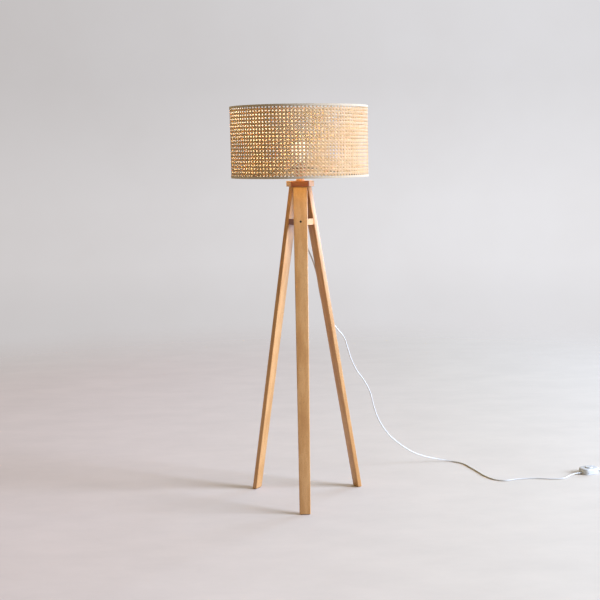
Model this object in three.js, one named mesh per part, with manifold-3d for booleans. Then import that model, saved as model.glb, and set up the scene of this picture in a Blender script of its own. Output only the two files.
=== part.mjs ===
// Floor lamp: a cane-webbing drum shade over a three-legged wooden stand, with its lampholder, bulb,
// cord, foot switch and plug. Millimetres, +Z up, origin on the floor under the shade's axis.
import * as THREE from 'three';
import { mergeVertices } from 'three/addons/utils/BufferGeometryUtils.js';
import Module from 'manifold-3d';

const wasm = await Module();
wasm.setup();

// Clearances
const gap = 0.3;                     // between pieces that rest on or fit in each other
const cutOverrun = 3;                // how far a cutter runs past the faces it opens
const weldDistance = 0.0001;         // points closer than this are one

// Stand
const legCount = 3;
const frontLegAngle = -90;           // degrees, the leg nearest the viewer
const standHeight = 1182;            // floor to the top of the plate
const plateThickness = 20;
const plateLegReach = 39.5;          // centre to the edges over the legs
const plateCornerReach = 47.9;       // centre to the edges between the legs
const plateEdgeBevel = 1.2;
const legTopWidth = 52;
const legFootWidth = 39;
const legThickness = 17;             // level, along the radius
const legTopRadius = 15.8;           // inner face under the plate
const legFootRadius = 216;           // inner face at the floor
const legEdgeRadius = 2.4;
const padThickness = 2;
const padInset = 3;

// Spreader block and leg bolts
const spreaderDrop = 128;            // plate's underside down to the block's middle and the bolts
const spreaderThickness = 22;
const cordBoreDiameter = 10;
const boltDiameter = 5;
const boltHeadDiameter = 8;
const boltHeadHeight = 4;
const boltRecess = 0.8;              // the head's face below the leg's face
const boltReach = 12;                // into the insert
const boltSocketWidth = 4;
const boltSocketDepth = 2.4;
const insertDiameter = 8;
const insertLength = 14;

// Plate screws
const plateScrewRadius = 27;         // from the stand's axis
const plateScrewHead = 9;
const plateScrewShank = 4.5;
const plateScrewLength = 52;
const plateScrewCone = 2.8;          // height of the countersunk head
const plateScrewPoint = 6;

// Cord bushing under the spreader block
const bushingFlange = 15;
const bushingFlangeThickness = 2;
const bushingSleeve = 8;
const bushingWall = 1.6;

// Threaded tube, washer, nut and collar
const tubeDiameter = 10;
const tubeBore = 7;
const tubeBelowPlate = 9;
const tubeAboveCollar = 8;
const washerDiameter = 22;
const washerThickness = 1.5;
const nutWidth = 14;                 // across flats
const nutThickness = 4;
const collarDiameter = 31;
const collarTopDiameter = 19;
const collarHeight = 10;
const collarWall = 1.5;

// Lampholder
const holderDiameter = 36;
const holderWall = 1.5;
const holderBaseDiameter = 19;
const holderCapHeight = 15;
const holderShellHeight = 35;
const holderSeatHeight = 19;         // shell's foot to the top of the shade seat
const holderSeatDiameter = 46;
const holderSeatThickness = 2;
const holderThreadDepth = 0.6;
const holderThreadPitch = 2.5;
const holderLip = 1.6;               // inward lip at the mouth
const blockHeight = 7;               // insulating insert
const blockTerminalWidth = 6;
const screwShellRadius = 13.9;       // bore of the lamp's screw shell, at its crests
const screwShellWall = 0.5;
const screwShellHeight = 23;
const tongueWidth = 6;
const tongueThickness = 0.8;
const tongueRise = 3;
const tongueHalfLength = 9;

// Bulb
const bulbDiameter = 60;
const bulbLength = 108;              // bottom contact to the top of the glass
const capRadius = 12.7;              // screw cap between its crests
const capCrest = 0.6;
const capPitch = 3.62;
const capHeight = 21;
const capWall = 0.5;
const capFloorRadius = 8.6;
const capShoulder = 2.5;             // height of the cone at the cap's foot
const insulatorHeight = 4;
const insulatorFootRadius = 5.4;
const contactRadius = 4.6;
const contactHeight = 1.4;
const glassWall = 1;
const glassInCap = 2.5;              // neck's length inside the screw cap
const stemRadius = 3.2;
const stemHeight = 30;
const filamentCount = 4;
const filamentRadius = 0.8;
const filamentLength = 26;
const filamentLean = 14;             // degrees
// The glass from the cap to its widest place, as shares of its radius and of that height
const glassShares = [
  [0.47, 0.06], [0.5, 0.2], [0.6, 0.42], [0.76, 0.62], [0.9, 0.8],
];

// Shade
const shadeDiameter = 500;
const shadeRise = 13;                // top of the plate to the shade's lower edge
const shadeHeight = 255;
const bandWidth = 8;                 // white edge bands
const bandThickness = 0.7;
const caneThickness = 1.8;
const wireDiameter = 4;
const seamAngle = 101.25;            // degrees, behind the rear spoke
const seamWidth = 12;
const seamThickness = 1.2;
const hubDiameter = 60;
const hubThickness = 2;
const hubLip = 4;
const spokeDiameter = 3.6;
const spokeCount = 3;
const firstSpokeAngle = -20;         // degrees
const shadeRingHeight = 7;
const shadeRingRib = 1;
const shadeRingRibs = 24;

// Cord and what is on it
const cordDiameter = 5;
const cordSides = 8;
const reliefLength = 22;
const reliefStart = 7;               // diameter where the cord goes in
const reliefEnd = 10;                // diameter at the housing
const switchLength = 74;
const switchWidth = 58;
const switchHeight = 23;
const switchBaseHeight = 6;
const switchWall = 2;
const switchEdge = 5;                // rounding of the cover's top edge
const switchAngle = 25;              // degrees, the way the cord runs through it
const buttonDiameter = 30;
const buttonRise = 4;
const buttonFlange = 2;
const buttonFlangeThickness = 1.5;
const buttonDish = 1.5;              // rounding of the button's rim
const switchCornerShare = 0.38;      // corner radius of its width
const cordEntry = 6.5;               // height of the cord's axis at the switch
const switchBlockLength = 40;
const switchBlockWidth = 24;
const switchBlockHeight = 5;
const springDiameter = 12;
const springWire = 1.2;
const coilRadius = 35;               // middle of the cord on the outer turn
const coilSpacing = 5.7;             // middle to middle of neighbouring turns and layers
const coilSides = 6;
const coilStepsPerTurn = 24;
const coilLift = 1.2;                // the tie's strap lies under the turns
const tailLength = 36;
const endLength = 44;
const tieWidth = 9;
const tieThickness = 0.8;
const plugLength = 37;
const plugWidth = 35;
const plugThickness = 14;
const plugNoseWidth = 24;
const plugBevel = 2;
const pinDiameter = 4;
const pinLength = 19;
const pinSpacing = 18.6;
const plugWaistShare = 0.35;         // narrow nose's length of the plug's

// Places where the loose cord and what is on it lie on the floor
const switchPlace = [1120, 227];
const coilWholeTurns = 5;
const coilExitAngle = 0;             // degrees round the coil, where the end stretch leaves
const coilTieAngle = 60;
// Route of the hanging stretch and of its run over the floor, from the bushing to the foot switch
const cordRoute = [
  [5, 7, 975], [23, 29, 928], [40, 51, 881], [53, 68, 830], [60, 77, 780], [71, 90, 723],
  [98, 125, 655], [129, 164, 604], [151, 191, 572], [164, 207, 530], [177, 224, 482],
  [200, 253, 428], [232, 294, 374], [255, 319, 320], [268, 328, 264], [290, 334, 203],
  [326, 347, 145], [373, 366, 97], [430, 388, 55], [484, 412, 29], [537, 432, 12],
  [588, 430, 3.5], [634, 392, 2.5], [660, 330, 2.5], [681, 268, 2.5], [705, 198, 2.5],
  [735, 152, 2.5], [772, 136, 2.5], [818, 152, 2.5], [886, 160, 2.5], [962, 147, 2.5],
  [1006, 153, 3], [1034, 181, 4.6],
];

// Counts
const smallSides = 12;
const turnedSides = 24;
const shadeSides = 48;
const spokeSides = 8;
const wireSides = 6;
const cordSteps = 74;
const tailSteps = 4;
const domeSteps = 4;
const globeSteps = 8;
const roundSteps = 3;                // facets on a rounded corner
const bevelSteps = 2;
const hexSides = 6;

const degree = Math.PI / 180;
const legAngles = Array.from({ length: legCount }, (_, i) => frontLegAngle - i * 360 / legCount);
const legNames = ['front', 'rear_left', 'rear_right'];
const plateUnderside = standHeight - plateThickness;
const spreaderCentre = plateUnderside - spreaderDrop;
const shadeBottom = standHeight + shadeRise;
const legSlope = (legFootRadius - legTopRadius) / plateUnderside;
const legLean = Math.atan(legSlope);
const cordRadius = cordDiameter / 2;
const lamp = new THREE.Group();

// Finishes
function finish(color, roughness, metalness = 0) {
  return new THREE.MeshStandardMaterial({ color, roughness, metalness });
}

const honeyWood = () => finish(0xc48a4e, 0.45);
const blackSteel = () => finish(0x15130f, 0.4, 0.7);
const brightSteel = () => finish(0xb9bab8, 0.3, 0.9);
const brass = () => finish(0xc79a4b, 0.35, 0.9);
const bronze = () => finish(0xa8683a, 0.4, 0.8);
const ceramic = () => finish(0xe9e4d8, 0.5);
const felt = () => finish(0x3b332b, 0.95);
const clearPlastic = () => finish(0xe6e6e2, 0.25);
const blackPlastic = () => finish(0x18171a, 0.4);
const cordPlastic = () => finish(0xefeeea, 0.35);
const opalGlass = () => finish(0xfff4dc, 0.2);
const whiteTape = () => finish(0xefe9dc, 0.8);
const cane = () => finish(0xd8b27a, 0.6);

// Shape helpers
function closed(geometry) {
  geometry.deleteAttribute('normal');
  geometry.deleteAttribute('uv');
  const merged = mergeVertices(geometry, weldDistance);
  const index = merged.index.array;
  const kept = [];
  for (let i = 0; i < index.length; i += 3) {
    const [a, b, c] = [index[i], index[i + 1], index[i + 2]];
    if (a !== b && b !== c && c !== a) kept.push(a, b, c);
  }
  if (volume(merged.attributes.position, kept) < 0) kept.reverse();
  merged.setIndex(kept);
  return merged;
}

function volume(position, index) {
  const [a, b, c] = [0, 1, 2].map(() => new THREE.Vector3());
  let total = 0;
  for (let i = 0; i < index.length; i += 3) {
    a.fromBufferAttribute(position, index[i]);
    b.fromBufferAttribute(position, index[i + 1]);
    c.fromBufferAttribute(position, index[i + 2]);
    total += a.dot(b.cross(c));
  }
  return total;
}

function toManifold(geometry) {
  const shape = closed(geometry);
  return new wasm.Manifold(new wasm.Mesh({
    numProp: 3,
    vertProperties: new Float32Array(shape.attributes.position.array),
    triVerts: new Uint32Array(shape.index.array),
  }));
}

function fromManifold(solid) {
  const mesh = solid.getMesh();
  const geometry = new THREE.BufferGeometry();
  geometry.setAttribute('position', new THREE.BufferAttribute(mesh.vertProperties, 3));
  geometry.setIndex(new THREE.BufferAttribute(mesh.triVerts, 1));
  return geometry;
}

function cut(geometry, ...cutters) {
  const solid = cutters.reduce((rest, cutter) => rest.subtract(toManifold(cutter)), toManifold(geometry));
  return fromManifold(solid);
}

function join(...geometries) {
  const [first, ...others] = geometries.map(toManifold);
  return fromManifold(others.reduce((whole, other) => whole.add(other), first));
}

function place(name, geometry, material, parent = lamp) {
  const shape = closed(geometry);
  shape.computeVertexNormals();
  const mesh = new THREE.Mesh(shape, material);
  mesh.name = name;
  parent.add(mesh);
  return mesh;
}

function turned(profile, sides = turnedSides) {
  const points = profile.map(([radius, height]) => new THREE.Vector2(radius, height));
  const first = points[0];
  const last = points.at(-1);
  if (first.x > 0 || last.x > 0) points.push(first.clone());
  return new THREE.LatheGeometry(points, sides).rotateX(Math.PI / 2);
}

function pipe(outer, bore, foot, top, sides = turnedSides) {
  return turned([[bore, foot], [outer, foot], [outer, top], [bore, top]], sides);
}

function rod(radius, foot, top, sides = smallSides) {
  return turned([[0, foot], [radius, foot], [radius, top], [0, top]], sides);
}

function outline(points) {
  return new THREE.Shape(points.map(([x, y]) => new THREE.Vector2(x, y)));
}

// Points up a wall that is rolled into rounded threads
function rolledThread(radius, crest, foot, top, pitch) {
  const count = Math.max(0, Math.floor((top - foot) / pitch));
  return Array.from({ length: count }, (_, i) => {
    const start = foot + i * pitch;
    return [[radius, start], [radius + crest, start + pitch / 2]];
  }).flat();
}

function slab(shape, foot, top, bevel = 0) {
  const geometry = new THREE.ExtrudeGeometry(shape, {
    depth: top - foot - 2 * bevel,
    bevelEnabled: bevel > 0,
    bevelThickness: bevel,
    bevelSize: bevel,
    bevelOffset: -bevel,
    bevelSegments: bevelSteps,
  });
  return geometry.translate(0, 0, foot + bevel);
}

function roundedRectangle(length, width, radius, steps = roundSteps) {
  const points = [];
  const corners = [[1, 1], [-1, 1], [-1, -1], [1, -1]];
  for (const [quarter, [sideX, sideY]] of corners.entries()) {
    for (let i = 0; i <= steps; i += 1) {
      const angle = Math.PI / 2 * (quarter + i / steps);
      points.push([
        sideX * (length / 2 - radius) + radius * Math.cos(angle),
        sideY * (width / 2 - radius) + radius * Math.sin(angle),
      ]);
    }
  }
  return points;
}

function loft(lower, upper) {
  const count = lower.length;
  const positions = [...lower, ...upper].flat();
  const index = [];
  for (let i = 0; i < count; i += 1) {
    const next = (i + 1) % count;
    index.push(i, next, count + next, i, count + next, count + i);
    if (i > 0 && next > 0) {
      index.push(0, next, i);
      index.push(count, count + i, count + next);
    }
  }
  const geometry = new THREE.BufferGeometry();
  geometry.setAttribute('position', new THREE.Float32BufferAttribute(positions, 3));
  geometry.setIndex(index);
  return geometry;
}

// A hexagon whose sides over the legs and between them lie at two distances from the centre
function hexagon(legReach, cornerReach) {
  const sides = Array.from({ length: 2 * legCount }, (_, i) => ({
    angle: (frontLegAngle + i * 180 / legCount) * degree,
    reach: i % 2 === 0 ? legReach : cornerReach,
  }));
  return sides.map((side, i) => {
    const next = sides[(i + 1) % sides.length];
    const turn = Math.sin(next.angle - side.angle);
    return [
      (side.reach * Math.sin(next.angle) - next.reach * Math.sin(side.angle)) / turn,
      (next.reach * Math.cos(side.angle) - side.reach * Math.cos(next.angle)) / turn,
    ];
  });
}

function circlePoints(radius, sides) {
  return Array.from({ length: sides }, (_, i) => {
    const angle = 2 * Math.PI * i / sides;
    return [radius * Math.cos(angle), radius * Math.sin(angle)];
  });
}

function cordAlong(points, steps) {
  const places = points.map((point) => new THREE.Vector3(...point));
  const extrudePath = new THREE.CatmullRomCurve3(places, false, 'centripetal');
  const section = outline(circlePoints(cordRadius, cordSides));
  return new THREE.ExtrudeGeometry(section, { steps, extrudePath });
}

// Legs and pads
function legInnerRadius(height) {
  return legTopRadius + (plateUnderside - height) * legSlope;
}

function legWidth(height) {
  return legTopWidth - (legTopWidth - legFootWidth) * (plateUnderside - height) / plateUnderside;
}

function legSection(height, inset = 0, corner = legEdgeRadius) {
  const middle = legInnerRadius(height) + legThickness / 2;
  const section = roundedRectangle(legThickness - 2 * inset, legWidth(height) - 2 * inset, corner);
  return section.map(([x, y]) => [x + middle, y, height]);
}

// Turns a solid made along Z so that it lies square to the leg's face, its foot end inwards
function squareToLeg(geometry) {
  geometry.rotateY(Math.PI / 2 - legLean);
  return geometry.translate(legInnerRadius(spreaderCentre), 0, spreaderCentre);
}

const legDepth = legThickness * Math.cos(legLean);
const boltHeadTop = legDepth - boltRecess;
const boltHeadFoot = boltHeadTop - boltHeadHeight;

function makeLeg(name, group) {
  const foot = padThickness + gap;
  const top = plateUnderside - gap;
  const board = loft(legSection(foot), legSection(top));
  const boltHole = squareToLeg(rod(boltDiameter / 2 + gap, -cutOverrun, legDepth + cutOverrun));
  const headHole = squareToLeg(rod(boltHeadDiameter / 2 + gap, boltHeadFoot - gap, legDepth + cutOverrun));
  const screwHole = rod(plateScrewShank / 2 + gap, standHeight - plateScrewLength - gap, top + cutOverrun);
  screwHole.translate(plateScrewRadius, 0, 0);
  place(`leg_${name}`, cut(board, boltHole, headHole, screwHole), honeyWood(), group);
  const pad = loft(padSection(0), padSection(padThickness));
  place(`foot_pad_${name}`, pad, felt(), group);
}

function padSection(height) {
  return legSection(padThickness + gap, padInset).map(([x, y]) => [x, y, height]);
}

function makeBolt(name, group) {
  const head = boltHeadDiameter / 2;
  const shank = boltDiameter / 2;
  const bolt = turned([
    [0, -boltReach], [shank, -boltReach], [shank, boltHeadFoot],
    [head, boltHeadFoot], [head, boltHeadTop], [0, boltHeadTop],
  ], smallSides);
  const socketRadius = boltSocketWidth / Math.sqrt(3);
  const socket = rod(socketRadius, boltHeadTop - boltSocketDepth, boltHeadTop + cutOverrun, hexSides);
  place(`leg_bolt_${name}`, squareToLeg(cut(bolt, socket)), blackSteel(), group);
  const insert = pipe(insertDiameter / 2, shank + gap, -2 * gap - insertLength, -2 * gap, smallSides);
  place(`spreader_insert_${name}`, squareToLeg(insert), brass(), group);
}

function makePlateScrew(name, group) {
  const head = plateScrewHead / 2;
  const shank = plateScrewShank / 2;
  const tip = standHeight - plateScrewLength;
  const screw = turned([
    [0, tip], [shank, tip + plateScrewPoint], [shank, standHeight - plateScrewCone],
    [head, standHeight - gap], [0, standHeight - gap],
  ], smallSides);
  const socketRadius = boltSocketWidth / 2;
  const socket = rod(socketRadius, standHeight - boltSocketDepth, standHeight + cutOverrun, hexSides);
  const geometry = cut(screw, socket).translate(plateScrewRadius, 0, 0);
  place(`plate_screw_${name}`, geometry, brightSteel(), group);
}

function makeLegs() {
  legAngles.forEach((angle, i) => {
    const group = new THREE.Group();
    group.rotation.z = angle * degree;
    lamp.add(group);
    makeLeg(legNames[i], group);
    makeBolt(legNames[i], group);
    makePlateScrew(legNames[i], group);
  });
}

// Top plate
function makePlate() {
  const shape = outline(hexagon(plateLegReach, plateCornerReach));
  const plate = slab(shape, plateUnderside, standHeight, plateEdgeBevel);
  const below = plateUnderside - cutOverrun;
  const tubeHole = rod(tubeDiameter / 2 + gap, below, standHeight + cutOverrun, turnedSides);
  const screwHoles = legAngles.map((angle) => {
    const shank = plateScrewShank / 2 + gap;
    const head = plateScrewHead / 2 + gap;
    const hole = turned([
      [0, below], [shank, below], [shank, standHeight - plateScrewCone - gap],
      [head, standHeight], [head, standHeight + cutOverrun], [0, standHeight + cutOverrun],
    ], smallSides);
    return hole.translate(plateScrewRadius, 0, 0).rotateZ(angle * degree);
  });
  place('top_plate', cut(plate, tubeHole, ...screwHoles), honeyWood());
}

// Spreader block, its long sides bevelled to the legs
const spreaderFoot = spreaderCentre - spreaderThickness / 2;

function spreaderSection(height) {
  const legReach = legInnerRadius(height) - gap;
  const middleReach = legInnerRadius(spreaderCentre) - gap;
  const cornerAngle = 180 / legCount * degree;
  const sideHalf = legWidth(spreaderCentre) / 2;
  const cornerReach = sideHalf * Math.sin(cornerAngle) + middleReach * Math.cos(cornerAngle);
  return hexagon(legReach, cornerReach).map(([x, y]) => [x, y, height]);
}

function makeSpreader() {
  const block = loft(spreaderSection(spreaderFoot), spreaderSection(spreaderFoot + spreaderThickness));
  const top = spreaderFoot + spreaderThickness + cutOverrun;
  const cordBore = rod(cordBoreDiameter / 2, spreaderFoot - cutOverrun, top, turnedSides);
  const pockets = legAngles.map((angle) => {
    const pocket = rod(insertDiameter / 2 + gap, -3 * gap - insertLength, cutOverrun);
    return squareToLeg(pocket).rotateZ(angle * degree);
  });
  place('spreader_block', cut(block, cordBore, ...pockets), honeyWood());
}

// Cord bushing, pressed up into the block's bore
const cordExitHeight = spreaderFoot - gap - bushingFlangeThickness;

function makeBushing() {
  const sleeve = cordBoreDiameter / 2 - gap;
  const bore = sleeve - bushingWall;
  const seat = spreaderFoot - gap;
  const bushing = turned([
    [bore, cordExitHeight], [bushingFlange / 2, cordExitHeight], [bushingFlange / 2, seat],
    [sleeve, seat], [sleeve, seat + bushingSleeve], [bore, seat + bushingSleeve],
  ], turnedSides);
  place('cord_bushing', bushing, ceramic());
}

// Threaded tube, washer, nut and collar
const collarFoot = standHeight + gap;
const collarTop = collarFoot + collarHeight;
const holderFoot = collarTop + gap;
const tubeTop = holderFoot + tubeAboveCollar;

function makeTubeAndCollar() {
  const tube = tubeDiameter / 2;
  const clear = tube + gap;
  place('threaded_tube', pipe(tube, tubeBore / 2, plateUnderside - tubeBelowPlate, tubeTop), brass());
  const washerTop = plateUnderside - gap;
  const washerFoot = washerTop - washerThickness;
  place('tube_washer', pipe(washerDiameter / 2, clear, washerFoot, washerTop), brightSteel());
  const nutTop = washerFoot - gap;
  const nut = cut(
    rod(nutWidth / Math.sqrt(3), nutTop - nutThickness, nutTop, hexSides),
    rod(clear, nutTop - nutThickness - cutOverrun, nutTop + cutOverrun, turnedSides),
  );
  place('tube_nut', nut, brightSteel());
  const dome = (wall) => Array.from({ length: domeSteps + 1 }, (_, i) => {
    const angle = 90 * i / domeSteps * degree;
    const shoulder = (collarDiameter - collarTopDiameter) / 2;
    return [
      collarTopDiameter / 2 - wall + shoulder * Math.cos(angle),
      collarFoot + (collarHeight - wall) * Math.sin(angle),
    ];
  });
  const mouth = [[clear, collarTop], [clear, collarTop - collarWall]];
  const profile = [...dome(0), ...mouth, ...dome(collarWall).reverse()];
  place('plate_collar', turned(profile), bronze());
}

// Lampholder
const holderRadius = holderDiameter / 2;
const holderBore = holderRadius - holderWall;
const shellFoot = holderFoot + holderCapHeight + gap;
const shellTop = shellFoot + holderShellHeight;
const seatTop = shellFoot + holderSeatHeight;
const threadRadius = holderRadius + holderThreadDepth;

function makeHolderCap() {
  const base = holderBaseDiameter / 2;
  const clear = tubeDiameter / 2 + gap;
  const bowl = (wall) => Array.from({ length: domeSteps + 1 }, (_, i) => {
    const angle = 90 * i / domeSteps * degree;
    return [
      base - wall + (holderRadius - base) * Math.sin(angle),
      holderFoot + holderCapHeight - (holderCapHeight - wall) * Math.cos(angle),
    ];
  });
  const walls = [...bowl(0), ...bowl(holderWall).reverse()];
  place('holder_cap', turned([[clear, holderFoot], ...walls, [clear, holderFoot + holderWall]]), bronze());
}

function makeHolderShell() {
  const seatFoot = seatTop - holderSeatThickness;
  const pitch = holderThreadPitch;
  const crests = rolledThread(holderRadius, holderThreadDepth, seatTop + pitch, shellTop - pitch, pitch);
  const profile = [
    [holderBore, shellFoot], [holderRadius, shellFoot], [holderRadius, seatFoot],
    [holderSeatDiameter / 2, seatFoot], [holderSeatDiameter / 2, seatTop], [holderRadius, seatTop],
    ...crests, [holderRadius, shellTop - gap], [holderRadius - holderLip / 2, shellTop],
    [holderBore - holderLip, shellTop], [holderBore - holderLip, shellTop - holderWall],
    [holderBore, shellTop - holderWall],
  ];
  place('holder_shell', turned(profile), bronze());
}

const blockFoot = shellFoot + gap;
const blockTop = blockFoot + blockHeight;
const contactFoot = blockTop + gap + tongueThickness + tongueRise + gap;

function makeHolderBlock() {
  const blockRadius = holderBore - gap;
  const cordWay = rod(cordRadius + gap, blockFoot - cutOverrun, blockFoot + blockHeight / 2);
  const terminals = [-1, 1].map((side) => {
    const notch = new THREE.BoxGeometry(blockTerminalWidth, blockTerminalWidth, blockHeight);
    return notch.translate(side * blockRadius, 0, blockTop);
  });
  const block = rod(blockRadius, blockFoot, blockTop, turnedSides);
  place('holder_block', cut(block, cordWay, ...terminals), ceramic());
}

function makeCentreContact() {
  const reach = tongueHalfLength;
  const leaf = reach / 2;
  const arch = outline([
    [-reach, 0], [reach, 0], [reach, tongueThickness], [2 * tongueThickness - reach, tongueThickness],
    [-leaf, tongueRise], [leaf, tongueRise], [leaf, tongueRise + tongueThickness],
    [-leaf - tongueThickness / 2, tongueRise + tongueThickness], [-reach, tongueThickness],
  ]);
  const tongue = slab(arch, -tongueWidth / 2, tongueWidth / 2);
  place('centre_contact', tongue.rotateX(Math.PI / 2).translate(0, 0, blockTop + gap), brass());
}

function makeScrewShell() {
  const foot = blockTop + gap;
  const top = foot + screwShellHeight;
  const inside = rolledThread(screwShellRadius, capCrest, foot + capPitch, top, capPitch);
  const outside = inside.map(([radius, height]) => [radius + screwShellWall, height]);
  const outerRadius = screwShellRadius + screwShellWall;
  const inner = [[screwShellRadius, foot + screwShellWall], ...inside, [screwShellRadius, top]];
  const outer = [[outerRadius, foot], ...outside, [outerRadius, top]];
  const floorRadius = Math.hypot(tongueHalfLength, tongueWidth / 2) + 2 * gap;
  const floor = [[floorRadius, foot + screwShellWall], [floorRadius, foot]];
  place('screw_shell', turned([...outer, ...inner.reverse(), ...floor]), brass());
}

// Bulb
const bulbFoot = contactFoot;
const insulatorFoot = bulbFoot + contactHeight + gap;
const capFoot = insulatorFoot + insulatorHeight;
const capTop = capFoot + capHeight;
const capBore = capRadius - capWall;
const bulbRadius = bulbDiameter / 2;
const bulbTop = bulbFoot + bulbLength;

function makeBulbCap() {
  const contact = turned([
    [0, bulbFoot], [contactRadius / 2, bulbFoot], [contactRadius, bulbFoot + contactHeight / 2],
    [contactRadius, bulbFoot + contactHeight], [0, bulbFoot + contactHeight],
  ], smallSides);
  place('bulb_contact', contact, brightSteel());
  const insulator = turned([
    [0, insulatorFoot], [insulatorFootRadius, insulatorFoot],
    [capFloorRadius, capFoot - gap], [0, capFoot - gap],
  ], smallSides);
  place('bulb_insulator', insulator, blackPlastic());
  const side = rolledThread(capRadius, capCrest, capFoot + capShoulder, capTop, capPitch);
  const outer = [[capFloorRadius, capFoot], [capRadius, capFoot + capShoulder], ...side, [capRadius, capTop]];
  const inner = outer.slice(1).map(([radius, height]) => [radius - capWall, height]).reverse();
  const floor = [[capFloorRadius - capWall, capFoot + capWall], [0, capFoot + capWall]];
  place('bulb_cap', turned([[0, capFoot], ...outer, ...inner, ...floor]), brightSteel());
}

function glassOutline(wall) {
  const neck = capBore - gap - wall;
  const shoulder = capTop + gap;
  const centre = bulbTop - bulbRadius;
  const sides = glassShares.map(([radiusShare, heightShare]) => [
    bulbRadius * radiusShare - wall, shoulder + (centre - shoulder) * heightShare,
  ]);
  const dome = Array.from({ length: globeSteps + 1 }, (_, i) => {
    const angle = Math.PI / 2 * i / globeSteps;
    const radius = i < globeSteps ? (bulbRadius - wall) * Math.cos(angle) : 0;
    return [radius, centre + (bulbRadius - wall) * Math.sin(angle)];
  });
  return [[neck, capTop - glassInCap], [neck, shoulder], ...sides, ...dome];
}

function makeBulbGlass() {
  const profile = [...glassOutline(0), ...glassOutline(glassWall).reverse()];
  place('bulb_glass', turned(profile), opalGlass());
  const stemFoot = capFoot + capWall + gap;
  const stemTop = stemFoot + stemHeight;
  const stem = turned([
    [0, stemFoot], [stemRadius, stemFoot], [stemRadius, stemFoot + stemHeight / 2],
    [stemRadius / 2, stemTop], [0, stemTop],
  ], smallSides);
  const rods = Array.from({ length: filamentCount }, (_, i) => {
    const filament = rod(filamentRadius, -filamentRadius, filamentLength, wireSides);
    filament.rotateY(filamentLean * degree);
    return filament.translate(0, 0, stemTop - filamentRadius).rotateZ(2 * Math.PI * i / filamentCount);
  });
  place('bulb_stem', join(stem, ...rods), opalGlass());
}

// Shade carrier: hub, spokes and the ring that clamps it
const hubFoot = seatTop + gap;
const hubTop = hubFoot + hubThickness;
const hubBore = threadRadius + gap;
const hubRadius = hubDiameter / 2;
const shadeTop = shadeBottom + shadeHeight;
const shadeRadius = shadeDiameter / 2;
const caneOuter = shadeRadius - bandThickness - gap;
const caneInner = caneOuter - caneThickness;
const wireRadius = wireDiameter / 2;
const wireCentre = caneInner - gap - wireRadius;
const wireLevel = bandThickness + gap + wireRadius;
const wireInner = wireCentre * Math.cos(Math.PI / shadeSides) - wireRadius;

function makeHub() {
  const profile = [
    [hubBore, hubFoot], [hubRadius, hubFoot], [hubRadius, hubFoot + hubLip],
    [hubRadius - hubThickness, hubFoot + hubLip], [hubRadius - hubThickness, hubTop], [hubBore, hubTop],
  ];
  place('shade_hub', turned(profile), blackSteel());
}

// A rod along one spoke, from the hub's rim to the lower wire ring
function alongSpoke(number, radius, overrun) {
  const start = new THREE.Vector3(hubRadius + gap, 0, hubFoot + hubLip / 2);
  const end = new THREE.Vector3(wireInner - 2 * gap, 0, shadeBottom + wireLevel);
  const run = end.clone().sub(start);
  const slope = Math.atan2(run.z, run.x);
  const spoke = rod(radius, 0, run.length() + overrun, spokeSides);
  spoke.rotateY(Math.PI / 2 - slope).translate(start.x, 0, start.z);
  return spoke.rotateZ((firstSpokeAngle + 360 * number / spokeCount) * degree);
}

function makeSpokes() {
  for (let i = 0; i < spokeCount; i += 1) {
    place(`shade_spoke_${i + 1}`, alongSpoke(i, spokeDiameter / 2, 0), blackSteel());
  }
}

function makeShadeRing() {
  const foot = hubTop + gap;
  const outer = hubRadius - hubThickness - gap;
  const rim = Array.from({ length: 2 * shadeRingRibs }, (_, i) => {
    const angle = Math.PI * (i + 0.5) / shadeRingRibs;
    const radius = i % 2 === 0 ? outer : outer - shadeRingRib;
    return [radius * Math.cos(angle), radius * Math.sin(angle)];
  });
  const ring = slab(outline(rim), foot, foot + shadeRingHeight);
  const bore = rod(hubBore, foot - cutOverrun, foot + shadeRingHeight + cutOverrun, turnedSides);
  place('shade_ring', cut(ring, bore), blackPlastic());
}

// Shade: wire rings, cane wall, seam strip and edge bands
function makeWireRing(name, level) {
  const ring = new THREE.TorusGeometry(wireCentre, wireRadius, wireSides, shadeSides);
  place(name, ring.translate(0, 0, level), brightSteel());
}

function makeBand(name, edge, up, ...cutters) {
  const inner = wireCentre - wireRadius - gap - bandThickness;
  const profile = [
    [inner, 0], [shadeRadius, 0], [shadeRadius, bandWidth], [shadeRadius - bandThickness, bandWidth],
    [shadeRadius - bandThickness, bandThickness], [inner + bandThickness, bandThickness],
    [inner + bandThickness, bandWidth], [inner, bandWidth],
  ];
  const placed = profile.map(([radius, height]) => [radius, edge + up * height]);
  place(name, cut(turned(placed, shadeSides), ...cutters), whiteTape());
}

function makeShade() {
  makeWireRing('shade_wire_bottom', shadeBottom + wireLevel);
  makeWireRing('shade_wire_top', shadeTop - wireLevel);
  const holeRadius = spokeDiameter / 2 + gap;
  const spokeHoles = Array.from({ length: spokeCount }, (_, i) => alongSpoke(i, holeRadius, wireRadius));
  makeBand('edge_band_bottom', shadeBottom, 1, ...spokeHoles);
  makeBand('edge_band_top', shadeTop, -1);
  const edge = bandThickness + gap;
  const wall = pipe(caneOuter, caneInner, shadeBottom + edge, shadeTop - edge, shadeSides);
  place('cane_wall', wall, cane());
  const seamHeight = shadeHeight - 2 * (bandWidth + gap);
  const seam = new THREE.BoxGeometry(seamThickness, seamWidth, seamHeight);
  const seamRadius = caneInner * Math.cos(Math.PI / shadeSides) - gap - seamThickness / 2;
  seam.translate(seamRadius, 0, (shadeBottom + shadeTop) / 2).rotateZ(seamAngle * degree);
  place('shade_seam', seam, cane());
}

// Foot switch, made with the cord running along X
const switchEntry = switchLength / 2;
const coverFoot = switchBaseHeight + gap;
const coverTop = switchHeight;
const coverCeiling = coverTop - switchWall;
const flangeTop = coverCeiling - gap;
const buttonTop = coverTop + buttonRise;
const switchCorner = switchWidth * switchCornerShare;

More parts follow.
